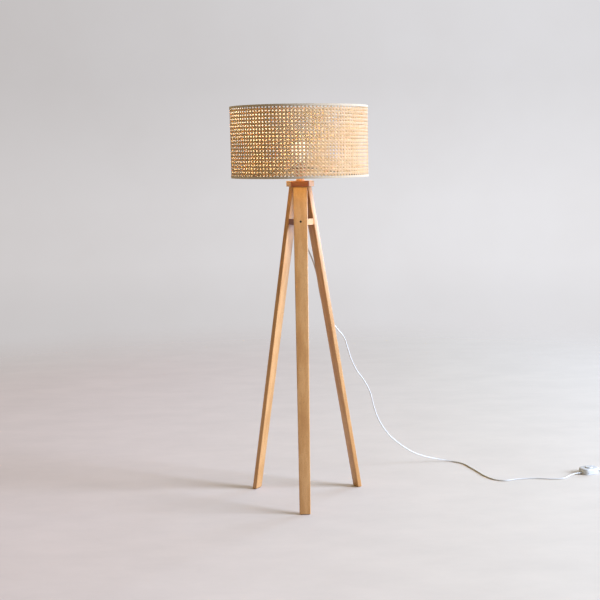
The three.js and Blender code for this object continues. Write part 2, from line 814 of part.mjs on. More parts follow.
function makeSwitchBody(group) {
  const shape = outline(roundedRectangle(switchLength, switchWidth, switchCorner));
  place('switch_base', slab(shape, 0, switchBaseHeight, switchWall / 2), clearPlastic(), group);
  const dome = slab(shape, coverFoot - switchEdge, coverTop, switchEdge);
  const waste = slab(shape, coverFoot - switchEdge - cutOverrun, coverFoot);
  const innerLength = switchLength - 2 * switchWall;
  const innerWidth = switchWidth - 2 * switchWall;
  const inside = outline(roundedRectangle(innerLength, innerWidth, switchCorner - switchWall));
  const cavity = slab(inside, coverFoot - cutOverrun, coverCeiling, switchEdge - switchWall);
  const hole = rod(buttonDiameter / 2 + gap, coverFoot, coverTop + cutOverrun, turnedSides);
  place('switch_cover', cut(dome, waste, cavity, hole), clearPlastic(), group);
}

function makeSwitchInside(group) {
  const block = new THREE.BoxGeometry(switchBlockLength, switchBlockWidth, switchBlockHeight);
  block.translate(0, 0, coverFoot + switchBlockHeight / 2);
  place('switch_block', block, ceramic(), group);
  const springRadius = springDiameter / 2;
  const springFoot = coverFoot + switchBlockHeight + gap;
  const springTop = flangeTop - buttonFlangeThickness - gap;
  const spring = pipe(springRadius, springRadius - springWire, springFoot, springTop, smallSides);
  place('switch_spring', spring, brightSteel(), group);
}

function makeSwitchButton(group) {
  const cap = buttonDiameter / 2;
  const flangeFoot = flangeTop - buttonFlangeThickness;
  const button = turned([
    [0, flangeFoot], [cap + buttonFlange, flangeFoot], [cap + buttonFlange, flangeTop],
    [cap, flangeTop], [cap, buttonTop - buttonDish], [cap - buttonDish, buttonTop],
    [0, buttonTop - buttonDish / 2],
  ]);
  place('switch_button', button, clearPlastic(), group);
}

function makeRelief(name, start, direction, group) {
  const relief = turned([
    [0, 0], [reliefEnd / 2, 0], [reliefEnd / 2, reliefLength / 4],
    [reliefStart / 2, reliefLength], [0, reliefLength],
  ], smallSides);
  relief.rotateY(direction * Math.PI / 2).translate(start, 0, cordEntry);
  place(name, relief, clearPlastic(), group);
}

function makeSwitch() {
  const group = new THREE.Group();
  group.position.set(...switchPlace, 0);
  group.rotation.z = switchAngle * degree;
  lamp.add(group);
  makeSwitchBody(group);
  makeSwitchInside(group);
  makeSwitchButton(group);
  makeRelief('switch_relief_in', -switchEntry - gap, -1, group);
  makeRelief('switch_relief_out', switchEntry + gap, 1, group);
}

// Cord inside the stand, and the hanging stretch to the switch
function alongSwitch(distance, height = cordEntry) {
  const angle = switchAngle * degree;
  return [
    switchPlace[0] + distance * Math.cos(angle),
    switchPlace[1] + distance * Math.sin(angle),
    height,
  ];
}

function makeCordInside() {
  const top = blockFoot - gap;
  place('cord_inside', rod(cordRadius, cordExitHeight, top, cordSides), cordPlastic());
}

function makeHangingCord() {
  const start = cordExitHeight - gap;
  const reliefTip = -(switchEntry + reliefLength + 2 * gap);
  const points = [
    [0, 0, start], [0, 0, start - 2 * cordDiameter],
    ...cordRoute,
    alongSwitch(reliefTip - 2 * cordDiameter), alongSwitch(reliefTip),
  ];
  place('cord_hanging', cordAlong(points, cordSteps), cordPlastic());
}

// Spare cord in a coil of two layers that spirals in and out again, turning clockwise
const coilEntryAngle = switchAngle + 90;
const coilTurns = coilWholeTurns + (coilEntryAngle - coilExitAngle) / 360;
const tailStart = switchEntry + reliefLength + 2 * gap;
const coilFloor = coilLift + cordRadius;
const coilCentre = (() => {
  const [x, y] = alongSwitch(tailStart + tailLength + gap + cordDiameter);
  const entry = coilEntryAngle * degree;
  return [x - coilRadius * Math.cos(entry), y - coilRadius * Math.sin(entry)];
})();

function coilRadiusAt(turn) {
  const inwards = coilTurns / 2 - Math.abs(turn - coilTurns / 2);
  return coilRadius - coilSpacing * inwards;
}

function coilPoint(turn) {
  const climb = THREE.MathUtils.smoothstep(turn, coilTurns / 2 - 1 / 4, coilTurns / 2 + 1 / 4);
  const angle = coilEntryAngle * degree - 2 * Math.PI * turn;
  const radius = coilRadiusAt(turn);
  return new THREE.Vector3(
    coilCentre[0] + radius * Math.cos(angle),
    coilCentre[1] + radius * Math.sin(angle),
    coilFloor + coilSpacing * climb,
  );
}

function wind(centres, radius, sides) {
  const rings = centres.map((centre, i) => {
    const ahead = centres[Math.min(i + 1, centres.length - 1)];
    const behind = centres[Math.max(i - 1, 0)];
    const along = ahead.clone().sub(behind).normalize();
    const across = new THREE.Vector3(-along.y, along.x, 0).normalize();
    const up = new THREE.Vector3().crossVectors(along, across);
    return circlePoints(radius, sides).map(([x, y]) => (
      centre.clone().addScaledVector(across, x).addScaledVector(up, y)
    ));
  });
  const positions = rings.flat().flatMap((point) => point.toArray());
  const index = [];
  for (let i = 0; i + 1 < rings.length; i += 1) {
    for (let j = 0; j < sides; j += 1) {
      const [a, b] = [i * sides + j, i * sides + (j + 1) % sides];
      index.push(a, b, b + sides, a, b + sides, a + sides);
    }
  }
  const last = (rings.length - 1) * sides;
  for (let j = 1; j + 1 < sides; j += 1) {
    index.push(0, j + 1, j, last, last + j, last + j + 1);
  }
  const geometry = new THREE.BufferGeometry();
  geometry.setAttribute('position', new THREE.Float32BufferAttribute(positions, 3));
  geometry.setIndex(index);
  return geometry;
}

function leastGap(centres, skipped) {
  let least = Infinity;
  for (let i = 0; i < centres.length; i += 1) {
    for (let j = i + skipped; j < centres.length; j += 1) {
      least = Math.min(least, centres[i].distanceTo(centres[j]));
    }
  }
  return least - cordDiameter;
}

// Its two ends run straight, in line with the tail and the end stretch
const coilEntry = new THREE.Vector3(...alongSwitch(tailStart + tailLength + gap, coilFloor));
const exitDirection = coilExitAngle - 90;
const coilExit = (() => {
  const way = new THREE.Vector3(Math.cos(exitDirection * degree), Math.sin(exitDirection * degree), 0);
  return coilPoint(coilTurns).addScaledVector(way, cordDiameter);
})();

function makeCoil() {
  const steps = Math.round(coilTurns * coilStepsPerTurn);
  const loops = Array.from({ length: steps + 1 }, (_, i) => coilPoint(coilTurns * i / steps));
  const centres = [coilEntry, ...loops, coilExit];
  console.log(`coil: least gap to itself ${leastGap(centres, coilStepsPerTurn / 2).toFixed(2)} mm`);
  place('cord_coil', wind(centres, cordRadius, coilSides), cordPlastic());
}

function makeCoilTie() {
  const firstPass = (coilEntryAngle - coilTieAngle) / 360;
  const passes = Array.from({ length: coilWholeTurns + 1 }, (_, i) => coilRadiusAt(firstPass + i));
  const outer = Math.max(...passes) + cordRadius + gap;
  const innermost = Math.min(...passes) - cordRadius;
  const inner = Math.sqrt(innermost ** 2 - (tieWidth / 2) ** 2) - 2 * gap;
  const foot = coilLift - gap;
  const top = coilFloor + coilSpacing + cordRadius + gap;
  const loop = (margin) => (
    roundedRectangle(outer - inner + 2 * margin, top - foot + 2 * margin, cordRadius + margin)
  );
  const strap = outline(loop(tieThickness));
  strap.holes.push(outline(loop(0)));
  const tie = slab(strap, -tieWidth / 2, tieWidth / 2).rotateX(Math.PI / 2);
  tie.translate((outer + inner) / 2, 0, (foot + top) / 2).rotateZ(coilTieAngle * degree);
  place('coil_tie', tie.translate(...coilCentre, 0), whiteTape());
}

function makeTail() {
  const points = [
    alongSwitch(tailStart), alongSwitch(tailStart + cordDiameter),
    alongSwitch(tailStart + tailLength - cordDiameter, coilFloor),
    alongSwitch(tailStart + tailLength, coilFloor),
  ];
  place('cord_tail', cordAlong(points, tailSteps), cordPlastic());
}

// End stretch and plug, square to the coil's exit
const plugAxis = plugThickness / 2;

function makeEnd(group) {
  const level = coilFloor + coilSpacing;
  const points = [
    [gap, 0, level], [gap + cordDiameter, 0, level],
    [gap + endLength - cordDiameter, 0, plugAxis], [gap + endLength, 0, plugAxis],
  ];
  place('cord_end', cordAlong(points, tailSteps), cordPlastic(), group);
}

function makePlug(group) {
  const reliefTip = endLength + 2 * gap;
  const bodyStart = reliefTip + reliefLength + gap;
  const relief = turned([
    [0, 0], [reliefStart / 2, 0], [reliefEnd / 2, reliefLength * 3 / 4],
    [reliefEnd / 2, reliefLength], [0, reliefLength],
  ], smallSides);
  relief.rotateY(Math.PI / 2).translate(reliefTip, 0, plugAxis);
  place('plug_relief', relief, clearPlastic(), group);
  const nose = plugNoseWidth / 2;
  const wide = plugWidth / 2;
  const body = outline([
    [0, -nose + plugBevel], [plugBevel, -nose], [plugLength * plugWaistShare, -nose],
    [plugLength - plugBevel, -wide], [plugLength, -wide + plugBevel],
    [plugLength, wide - plugBevel], [plugLength - plugBevel, wide],
    [plugLength * plugWaistShare, nose], [plugBevel, nose], [0, nose - plugBevel],
  ]);
  const housing = slab(body, 0, plugThickness, plugBevel).translate(bodyStart, 0, 0);
  place('plug_body', housing, clearPlastic(), group);
  const pinStart = bodyStart + plugLength + gap;
  [['left', 1], ['right', -1]].forEach(([name, side]) => {
    const radius = pinDiameter / 2;
    const pin = turned([
      [0, 0], [radius, 0], [radius, pinLength - radius / 2], [radius / 2, pinLength], [0, pinLength],
    ], smallSides);
    pin.rotateY(Math.PI / 2).translate(pinStart, side * pinSpacing / 2, plugAxis);
    place(`plug_pin_${name}`, pin, brightSteel(), group);
  });
}

function makeSpareCord() {
  makeTail();
  makeCoil();
  makeCoilTie();
  const group = new THREE.Group();
  group.position.set(coilExit.x, coilExit.y, 0);
  group.rotation.z = exitDirection * degree;
  lamp.add(group);
  makeEnd(group);
  makePlug(group);
}

makeLegs();
makePlate();
makeSpreader();
makeBushing();
makeTubeAndCollar();
makeHolderCap();
makeHolderShell();
makeHolderBlock();
makeCentreContact();
makeScrewShell();
makeBulbCap();
makeBulbGlass();
makeHub();
makeSpokes();
makeShadeRing();
makeShade();
makeCordInside();
makeHangingCord();
makeSwitch();
makeSpareCord();

export default lamp;
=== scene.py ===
import math
import bpy
from mathutils import Matrix, Vector


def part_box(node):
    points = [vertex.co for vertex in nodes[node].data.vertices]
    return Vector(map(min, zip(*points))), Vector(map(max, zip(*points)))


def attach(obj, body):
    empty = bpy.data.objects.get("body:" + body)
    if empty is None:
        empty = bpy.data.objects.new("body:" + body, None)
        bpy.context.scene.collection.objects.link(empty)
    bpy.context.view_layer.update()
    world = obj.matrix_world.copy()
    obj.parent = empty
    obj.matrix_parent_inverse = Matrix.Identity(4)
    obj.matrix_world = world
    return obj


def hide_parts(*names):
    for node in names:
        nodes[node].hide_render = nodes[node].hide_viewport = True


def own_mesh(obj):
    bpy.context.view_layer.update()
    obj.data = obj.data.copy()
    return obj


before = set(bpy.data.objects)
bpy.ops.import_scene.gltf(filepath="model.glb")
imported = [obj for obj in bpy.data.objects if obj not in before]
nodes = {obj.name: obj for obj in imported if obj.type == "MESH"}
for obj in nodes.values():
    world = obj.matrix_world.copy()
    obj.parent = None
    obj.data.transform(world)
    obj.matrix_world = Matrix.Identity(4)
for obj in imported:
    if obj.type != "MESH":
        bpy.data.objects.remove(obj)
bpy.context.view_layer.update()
scene = bpy.context.scene
scene.view_settings.view_transform = "Standard"
print("frame loaded:", len(nodes), "nodes")

# the camera stands where the photograph was taken from, a little right of the front leg; the
# photograph is a cut from a wider one, whose middle was to the right of the lamp
camera = {
    "distance": 4.176,
    "height": 1.286,
    "azimuth": -88.279,   # degrees round the lamp
    "turn": -2.903,       # degrees from the lamp's axis
    "tilt": 7.439,        # degrees down
    "roll": -0.796,
    "shift": -0.1,        # of the frame's width
    "focalPixels": 1139.6,
    "framePixels": 600,
    "sensor": 36.0,
}


# level direction at an angle in degrees from +X
def inPlan(angle):
    return Vector((math.cos(math.radians(angle)), math.sin(math.radians(angle)), 0))


def addObject(name, data):
    thing = bpy.data.objects.new(name, data)
    scene.collection.objects.link(thing)
    return thing


def makeCamera():
    data = bpy.data.cameras.new("camera")
    data.sensor_width = camera["sensor"]
    data.lens = camera["sensor"] * camera["focalPixels"] / camera["framePixels"]
    data.shift_x = camera["shift"]
    place = inPlan(camera["azimuth"]) * camera["distance"]
    place.z = camera["height"]
    heading = camera["azimuth"] + 180 + camera["turn"] - 90
    turned = Matrix.Rotation(math.radians(heading), 4, "Z")
    tilted = Matrix.Rotation(math.radians(90 - camera["tilt"]), 4, "X")
    rolled = Matrix.Rotation(math.radians(camera["roll"]), 4, "Z")
    scene.camera = addObject("camera", data)
    scene.camera.matrix_world = Matrix.Translation(place) @ turned @ tilted @ rolled


makeCamera()
print("camera placed")


# small helpers for modelling: an operator acts on all that is selected
def selectNone():
    if bpy.context.object and bpy.context.object.mode != "OBJECT":
        bpy.ops.object.mode_set(mode="OBJECT")
    bpy.ops.object.select_all(action="DESELECT")


def pick(piece):
    selectNone()
    piece.select_set(True)
    bpy.context.view_layer.objects.active = piece


def settle(piece):
    pick(piece)
    bpy.ops.object.transform_apply(location=True, rotation=True, scale=True)


def applyModifiers(piece):
    pick(piece)
    for modifier in list(piece.modifiers):
        bpy.ops.object.modifier_apply(modifier=modifier.name)


# one of Blender's primitives, with nothing else selected
def addShape(add, name, **sizes):
    selectNone()
    add(**sizes)
    piece = bpy.context.object
    piece.name = name
    return piece


def addBlock(name, size, middle):
    block = addShape(bpy.ops.mesh.primitive_cube_add, name, size=1, location=middle)
    block.scale = size
    settle(block)
    return block


def addRod(name, radius, length, sides, middle=(0, 0, 0)):
    return addShape(bpy.ops.mesh.primitive_cylinder_add, name, vertices=sides, radius=radius, depth=length,
                    location=middle)


# turns a piece from the upright into a direction, with its foot or middle at a place
def layAlong(piece, place, way):
    piece.rotation_euler = Vector(way).to_track_quat("Z", "Y").to_euler()
    piece.location = place
    settle(piece)


def turnRound(piece, angle):
    piece.rotation_euler.z = math.radians(angle)
    settle(piece)


def editAll(piece):
    pick(piece)
    bpy.ops.object.mode_set(mode="EDIT")
    bpy.ops.mesh.select_all(action="SELECT")


# leaves the piece in edit mode with only those points or edges selected that the test picks
def selectParts(piece, kind, parts, test):
    pick(piece)
    bpy.ops.object.mode_set(mode="EDIT")
    bpy.ops.mesh.select_mode(type=kind)
    bpy.ops.mesh.select_all(action="DESELECT")
    bpy.ops.object.mode_set(mode="OBJECT")
    for part in parts(piece.data):
        part.select = test(part)
    bpy.ops.object.mode_set(mode="EDIT")


def selectPoints(piece, test):
    selectParts(piece, "VERT", lambda mesh: mesh.vertices, lambda vertex: test(vertex.co))


# edges that climb more than a height
def selectRising(piece, height):
    def rises(edge):
        low, high = (piece.data.vertices[i].co.z for i in edge.vertices)
        return abs(low - high) > height
    selectParts(piece, "EDGE", lambda mesh: mesh.edges, rises)


def endEdit():
    bpy.ops.mesh.select_mode(type="VERT")
    bpy.ops.object.mode_set(mode="OBJECT")


weld = 0.00001          # points nearer than this are one
pointRadius = 0.000002  # stands for the axis until the doubles are merged


def cleanMesh(piece):
    editAll(piece)
    bpy.ops.mesh.remove_doubles(threshold=weld)
    bpy.ops.mesh.normals_make_consistent(inside=False)
    bpy.ops.object.mode_set(mode="OBJECT")


def bevelEdges(piece, width, segments=2, angle=50):
    bevel = piece.modifiers.new("softEdges", "BEVEL")
    bevel.width = width
    bevel.segments = segments
    bevel.limit_method = "ANGLE"
    bevel.angle_limit = math.radians(angle)
    applyModifiers(piece)


def cutWith(piece, cutter):
    boolean = piece.modifiers.new("cut", "BOOLEAN")
    boolean.operation = "DIFFERENCE"
    boolean.solver = "EXACT"
    boolean.object = cutter
    applyModifiers(piece)
    bpy.data.objects.remove(cutter)


# smooths a piece over edges up to an angle, gives it its slot's finish or its own, and binds it
def keep(piece, body, slot, *replaced, smooth=35, material=None):
    if smooth:
        pick(piece)
        bpy.ops.object.shade_smooth_by_angle(angle=math.radians(smooth))
    piece.data.materials.clear()
    piece.data.materials.append(material or finishes[slot])
    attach(piece, body)
    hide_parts(*replaced)
    return piece


# a piece turned round the upright axis: one circle, drawn up and in or out point by point; a
# profile that starts off the axis is a ring, and runs back to its first point
def turnPiece(name, profile, steps=96):
    places = [(max(radius, pointRadius), height) for radius, height in profile]
    radius, height = places[0]
    if radius > pointRadius:
        places.append(places[0])
    piece = addShape(bpy.ops.mesh.primitive_circle_add, name, vertices=steps, radius=radius,
                     location=(0, 0, height))
    settle(piece)
    editAll(piece)
    for nextRadius, nextHeight in places[1:]:
        rise = {"value": (0, 0, nextHeight - height)}
        bpy.ops.mesh.extrude_region_move(TRANSFORM_OT_translate=rise)
        factor = nextRadius / radius
        bpy.ops.transform.resize(value=(factor, factor, 1), center_override=(0, 0, nextHeight))
        radius, height = nextRadius, nextHeight
    bpy.ops.object.mode_set(mode="OBJECT")
    cleanMesh(piece)
    return piece


leastStep = 1e-6  # between two points of a route


# points of a smooth line through a route, the way the cord's solid is drawn
def smoothRoute(points, spacing):
    points = [Vector(point) for point in points]
    ends = [points[0] * 2 - points[1]] + points + [points[-1] * 2 - points[-2]]
    line = []
    for before, start, end, after in zip(ends, ends[1:], ends[2:], ends[3:]):
        lead, span, tail = (max(step.length, leastStep) ** 0.5
                            for step in (start - before, end - start, after - end))
        leave = ((start - before) / lead - (end - before) / (lead + span) + (end - start) / span) * span
        reach = ((end - start) / span - (after - start) / (span + tail) + (after - end) / tail) * span
        steps = max(2, round((end - start).length / spacing))
        for i in range(steps):
            t = i / steps
            line.append(
                start + leave * t + (end * 3 - start * 3 - leave * 2 - reach) * t ** 2
                + (start * 2 - end * 2 + leave + reach) * t ** 3
            )
    return line + [points[-1]]


def routeLength(line):
    return sum((b - a).length for a, b in zip(line, line[1:]))


def drawCord(name, line, diameter):
    curve = bpy.data.curves.new(name, "CURVE")
    curve.dimensions = "3D"
    curve.bevel_depth = diameter / 2
    curve.bevel_resolution = 4
    curve.use_fill_caps = True
    spline = curve.splines.new("POLY")
    spline.points.add(len(line) - 1)
    for place, point in zip(spline.points, line):
        place.co = (*point, 1)
    spline.use_smooth = True
    return addObject(name, curve)


# materials
def findNode(tree, kind):
    return next(node for node in tree.nodes if node.type == kind)


def startMaterial(name):
    material = bpy.data.materials.new(name)
    material.use_nodes = True
    return material, material.node_tree, findNode(material.node_tree, "BSDF_PRINCIPLED")


# another node's output, a number or a colour goes into a socket
def feed(tree, socket, value):
    if hasattr(value, "links"):
        tree.links.new(value, socket)
    else:
        socket.default_value = (*value, 1) if socket.type == "RGBA" else value


def addNode(tree, kind, **values):
    node = tree.nodes.new(kind)
    for key, value in values.items():
        if key in node.inputs:
            feed(tree, node.inputs[key], value)
        else:
            setattr(node, key, value)
    return node


def setSockets(tree, shader, values):
    for name, value in values.items():
        feed(tree, shader.inputs[name], value)


def objectPlace(tree):
    return tree.nodes.new("ShaderNodeTexCoord").outputs["Object"]


def stretch(tree, vector, scale, rotation=(0, 0, 0), location=(0, 0, 0)):
    return addNode(tree, "ShaderNodeMapping", Vector=vector, Scale=scale, Rotation=rotation,
                   Location=location).outputs["Vector"]


def addNoise(tree, vector, scale, detail=3.0, roughness=0.5):
    return addNode(tree, "ShaderNodeTexNoise", Vector=vector, Scale=scale, Detail=detail,
                   Roughness=roughness).outputs["Fac"]


def addRamp(tree, factor, stops):
    ramp = addNode(tree, "ShaderNodeValToRGB", Fac=factor)
    elements = ramp.color_ramp.elements
    while len(elements) < len(stops):
        elements.new(0.5)
    for element, (position, colour) in zip(elements, stops):
        element.position = position
        element.color = (*colour, 1)
    return ramp.outputs["Color"]


def addMix(tree, factor, first, second, blend="MIX"):
    mix = addNode(tree, "ShaderNodeMix", data_type="RGBA", blend_type=blend)
    for number, value in ((0, factor), (6, first), (7, second)):
        feed(tree, mix.inputs[number], value)
    return mix.outputs[2]


def addRange(tree, factor, low, high):
    return addNode(tree, "ShaderNodeMapRange",
                   **{"Value": factor, "To Min": low, "To Max": high}).outputs["Result"]


# nought at the first end and one at the second
def addShare(tree, value, ends, curve="LINEAR"):
    return addNode(tree, "ShaderNodeMapRange", interpolation_type=curve,
                   **{"Value": value, "From Min": ends[0], "From Max": ends[1]}).outputs["Result"]


def addPart(tree, vector, part):
    return addNode(tree, "ShaderNodeSeparateXYZ", Vector=vector).outputs[part]


def addSpan(tree, vector, part, ends):
    return addShare(tree, addPart(tree, vector, part), ends, "SMOOTHSTEP")


def addMaximum(tree, values):
    largest = values[0]
    for value in values[1:]:
        node = addNode(tree, "ShaderNodeMath", operation="MAXIMUM")
        feed(tree, node.inputs[0], largest)
        feed(tree, node.inputs[1], value)
        largest = node.outputs["Value"]
    return largest


def addBump(tree, shader, height, strength, distance):
    bump = addNode(tree, "ShaderNodeBump", Strength=strength, Distance=distance, Height=height)
    tree.links.new(bump.outputs["Normal"], shader.inputs["Normal"])


def mixShaders(tree, factor, first, second, output):
    mix = addNode(tree, "ShaderNodeMixShader", Fac=factor)
    feed(tree, mix.inputs[1], first.outputs[0])
    feed(tree, mix.inputs[2], second.outputs[0])
    tree.links.new(mix.outputs["Shader"], output.inputs["Surface"])


def rgb(red, green, blue):
    # a colour as the eye reads it, given out of 255, as the renderer's linear values
    return tuple(
        c / 12.92 if c <= 0.04045 else ((c + 0.055) / 1.055) ** 2.4
        for c in (red / 255, green / 255, blue / 255)
    )


def grey(tone):
    return tone, tone, tone


woodLook = {
    "pale": rgb(206, 156, 101),
    "golden": rgb(193, 140, 82),
    "dark": rgb(179, 125, 70),
    "pore": rgb(130, 86, 46),
    "poreShare": 0.6,
    "figure": (26, 26, 1.1),  # changes of tone to the metre, across and along the grain
    "fibres": (420, 420, 9),
    "pores": (1100, 1100, 42),
    "roughness": (0.36, 0.52),
    "varnish": {"Coat Weight": 0.25, "Coat Roughness": 0.35},
    "bump": (0.25, 0.0003),   # strength and depth
}


# varnished wood whose grain runs along the given turned axis
def makeWood(name, rotation, shift=(0, 0, 0)):
    look = woodLook
    material, tree, shader = startMaterial(name)
    along = stretch(tree, objectPlace(tree), (1, 1, 1), rotation, shift)
    figure = addNoise(tree, stretch(tree, along, look["figure"]), 1.6, 4.0, 0.55)
    fine = addNoise(tree, stretch(tree, along, look["fibres"]), 1.0, 3.0, 0.6)
    speck = addNoise(tree, stretch(tree, along, look["pores"]), 1.0, 1.0, 0.4)
    body = addRamp(tree, figure, [
        (0.32, look["dark"]), (0.45, look["golden"]), (0.55, look["pale"]), (0.7, look["golden"]),
    ])
    streaked = addMix(tree, addRange(tree, fine, 0.0, 0.55), body, look["golden"])
    pores = addRamp(tree, speck, [(0.6, grey(0)), (0.72, grey(1))])
    poreShare = addMix(tree, look["poreShare"], grey(0.0), pores)
    setSockets(tree, shader, {
        "Base Color": addMix(tree, poreShare, streaked, look["pore"]),
        "Roughness": addRange(tree, fine, *look["roughness"]),
        **look["varnish"],
    })
    addBump(tree, shader, fine, *look["bump"])
    return material


# painted shade: darker amber on the plate's edges over the legs, and on the spreader's left front side
paintedShade = {
    "leaves": (0.36, 0.15, 0.02),        # of the wood's own colour
    "blend": (0.0009, 0.0004),           # metres inside the edge, where it starts and where it is full
    "plate": (0.0395, (-90, 150, 30)),   # from the axis to the edge, and the ways that it faces
    "spreader": (0.0407, (210,)),
}


# darkens the wood towards the listed faces' edges: painted shade, not a stain
def paintShadeOnEdges(finish):
    edge, angles = paintedShade[finish]
    tree = finishes[finish].node_tree
    shader = findNode(tree, "BSDF_PRINCIPLED")
    wood = shader.inputs["Base Color"].links[0].from_socket
    place = objectPlace(tree)
    reaches = []
    for angle in angles:
        reach = addNode(tree, "ShaderNodeVectorMath", operation="DOT_PRODUCT", Vector=place)
        reach.inputs[1].default_value = inPlan(angle)
        reaches.append(reach.outputs["Value"])
    shadeMask = addShare(tree, addMaximum(tree, reaches), [edge - inside for inside in paintedShade["blend"]])
    shadedWood = addMix(tree, 1.0, wood, paintedShade["leaves"], "MULTIPLY")
    feed(tree, shader.inputs["Base Color"], addMix(tree, shadeMask, wood, shadedWood))


caneLook = {
    "pale": rgb(240, 226, 202),
    "mid": rgb(218, 190, 148),
    "dark": rgb(164, 116, 62),
    "pith": rgb(250, 234, 198),
    "through": 0.4,              # share of the light that comes through a strand
    "glow": rgb(244, 210, 80),   # and its colour
    "roughness": (0.45, 0.65),
    "gloss": 0.5,
    "bump": (0.3, 0.0001),
    "scale": {"upright": (160, 160, 5), "round": (5, 5, 320), "slant": (70, 70, 70)},
}


# split cane: pale and brown lengths of glossy skin outside, pale pith inside
def makeCane(name, run, split=True):
    look = caneLook
    material, tree, shader = startMaterial(name)
    along = stretch(tree, objectPlace(tree), look["scale"][run])
    tone = addNoise(tree, along, 1.0, 3.0, 0.55)
    grain = addNoise(tree, along, 9.0, 2.0, 0.5)
    body = addRamp(tree, tone, [(0.3, look["dark"]), (0.48, look["mid"]), (0.68, look["pale"])])
    colour = addMix(tree, addRange(tree, grain, 0.0, 0.35), body, look["dark"])
    if split:
        skin = addNode(tree, "ShaderNodeAttribute", attribute_name="skin")
        colour = addMix(tree, skin.outputs["Fac"], look["pith"], colour)
    setSockets(tree, shader, {
        "Base Color": colour,
        "Roughness": addRange(tree, grain, *look["roughness"]),
        "Specular IOR Level": look["gloss"],
    })
    addBump(tree, shader, grain, *look["bump"])
    through = addNode(tree, "ShaderNodeBsdfTranslucent", Color=look["glow"])
    mixShaders(tree, look["through"], shader, through, findNode(tree, "OUTPUT_MATERIAL"))
    return material


tapeLook = {
    "light": rgb(212, 194, 168),
    "shade": rgb(176, 154, 126),
    "threads": 1500,     # to the metre
    "threadShare": 0.25,
    "surface": {"Roughness": 0.85, "Sheen Weight": 0.2},
    "bump": (0.4, 0.0002),
}


# woven edging tape
def makeTape(name):
    look = tapeLook
    material, tree, shader = startMaterial(name)
    place = objectPlace(tree)
    across = addNode(tree, "ShaderNodeTexWave", Vector=place, Scale=look["threads"] / 6, Distortion=0.6,
                     bands_direction="Z")
    blotch = addNoise(tree, place, 60, 3.0, 0.6)
    fuzz = addNoise(tree, place, look["threads"], 2.0, 0.6)
    colour = addMix(tree, addRange(tree, blotch, 0.1, 0.8), look["light"], look["shade"])
    threads = addMix(tree, look["threadShare"], colour, across.outputs["Color"], "MULTIPLY")
    setSockets(tree, shader, {"Base Color": threads, **look["surface"]})
    addBump(tree, shader, fuzz, *look["bump"])
    return material


# metals and plastics: a base colour, a little mottling and fine marks
def makePlain(name, colour, metallic, roughness, spread=0.08, tint=0.12, bump=0.05, scale=240.0):
    material, tree, shader = startMaterial(name)
    place = objectPlace(tree)
    blotch = addNoise(tree, place, scale / 6, 3.0, 0.6)
    marks = addNoise(tree, place, scale * 4, 2.0, 0.6)
    darker = tuple(c * (1 - tint) for c in colour)
    lighter = tuple(min(1, c * (1 + tint)) for c in colour)
    setSockets(tree, shader, {
        "Base Color": addRamp(tree, blotch, [(0.35, darker), (0.65, lighter)]),
        "Roughness": addRange(tree, marks, roughness - spread, roughness + spread),
        "Metallic": metallic,
    })
    addBump(tree, shader, marks, bump, 0.0001)
    return material


bulbLook = {
    "glow": rgb(255, 232, 190),
    "cloudy": 0.94,            # share of the glow that its dimmer patches have
    "strength": 1.1,
    "frost": rgb(250, 244, 232),
    "roughness": (0.3, 0.45),
    "light": (1.0, 0.79, 0.47),
    "watts": 3.4,
    "bright": (1.262, 1.288),  # heights between which the globe's glow grows from the neck's
    "neckShare": 0.25,
    "source": 0.9,             # of the globe's radius: the size of the light inside it
}


def makeGlowingGlass():
    look = bulbLook
    material, tree, shader = startMaterial("frostedGlassLit")
    place = objectPlace(tree)
    frost = addNoise(tree, place, 900, 2.0, 0.5)
    dimmer = tuple(c * look["cloudy"] for c in look["glow"])
    glow = addRamp(tree, addNoise(tree, place, 30, 1.0, 0.5), [(0.3, dimmer), (0.7, look["glow"])])
    lit = addRange(tree, addSpan(tree, place, "Z", look["bright"]), look["neckShare"], 1.0)
    setSockets(tree, shader, {
        "Base Color": look["frost"],
        "Emission Color": addMix(tree, lit, grey(0.0), glow),
        "Emission Strength": look["strength"],
        "Roughness": addRange(tree, frost, *look["roughness"]),
    })
    return material


quarterTurn = math.radians(90)
# by the names of the slots, and three that are one solid's own
finishes = {
    "black_steel": makePlain("blackSatinSteel", rgb(28, 26, 25), 0.3, 0.5),
    "bright_steel": makePlain("brightSteel", rgb(196, 196, 194), 1.0, 0.28),
    "brass": makePlain("plainBrass", rgb(214, 170, 92), 1.0, 0.3),
    "bronze": makePlain("warmBronzePlate", rgb(196, 142, 104), 0.9, 0.38, tint=0.08),
    "ceramic": makePlain("whiteInsulator", rgb(232, 228, 218), 0.0, 0.35),
    "black_plastic": makePlain("blackMoulding", rgb(34, 33, 34), 0.0, 0.5),
    "felt": makePlain("darkFelt", rgb(62, 54, 48), 0.0, 0.92, bump=0.6, scale=600),
    "cord_plastic": makePlain("whiteCordSheath", rgb(208, 206, 204), 0.0, 0.42, tint=0.03),
    "clear_plastic": makePlain("clearMoulding", rgb(222, 222, 222), 0.0, 0.2, spread=0.06, tint=0.03,
                               bump=0.1),
    "white_tape": makeTape("edgeTape"),
    "plate": makeWood("plateWood", (quarterTurn, 0, quarterTurn)),
    "spreader": makeWood("spreaderWood", (quarterTurn, 0, math.radians(60)), (0.3, 0.1, 0)),
    "seamCane": makeCane("seamCane", "upright", False),
    "opal_glass": makeGlowingGlass(),
}
paintShadeOnEdges("plate")
paintShadeOnEdges("spreader")
clearTree = finishes["clear_plastic"].node_tree
setSockets(clearTree, findNode(clearTree, "BSDF_PRINCIPLED"), {"Transmission Weight": 0.3, "IOR": 1.46})
print("materials made")

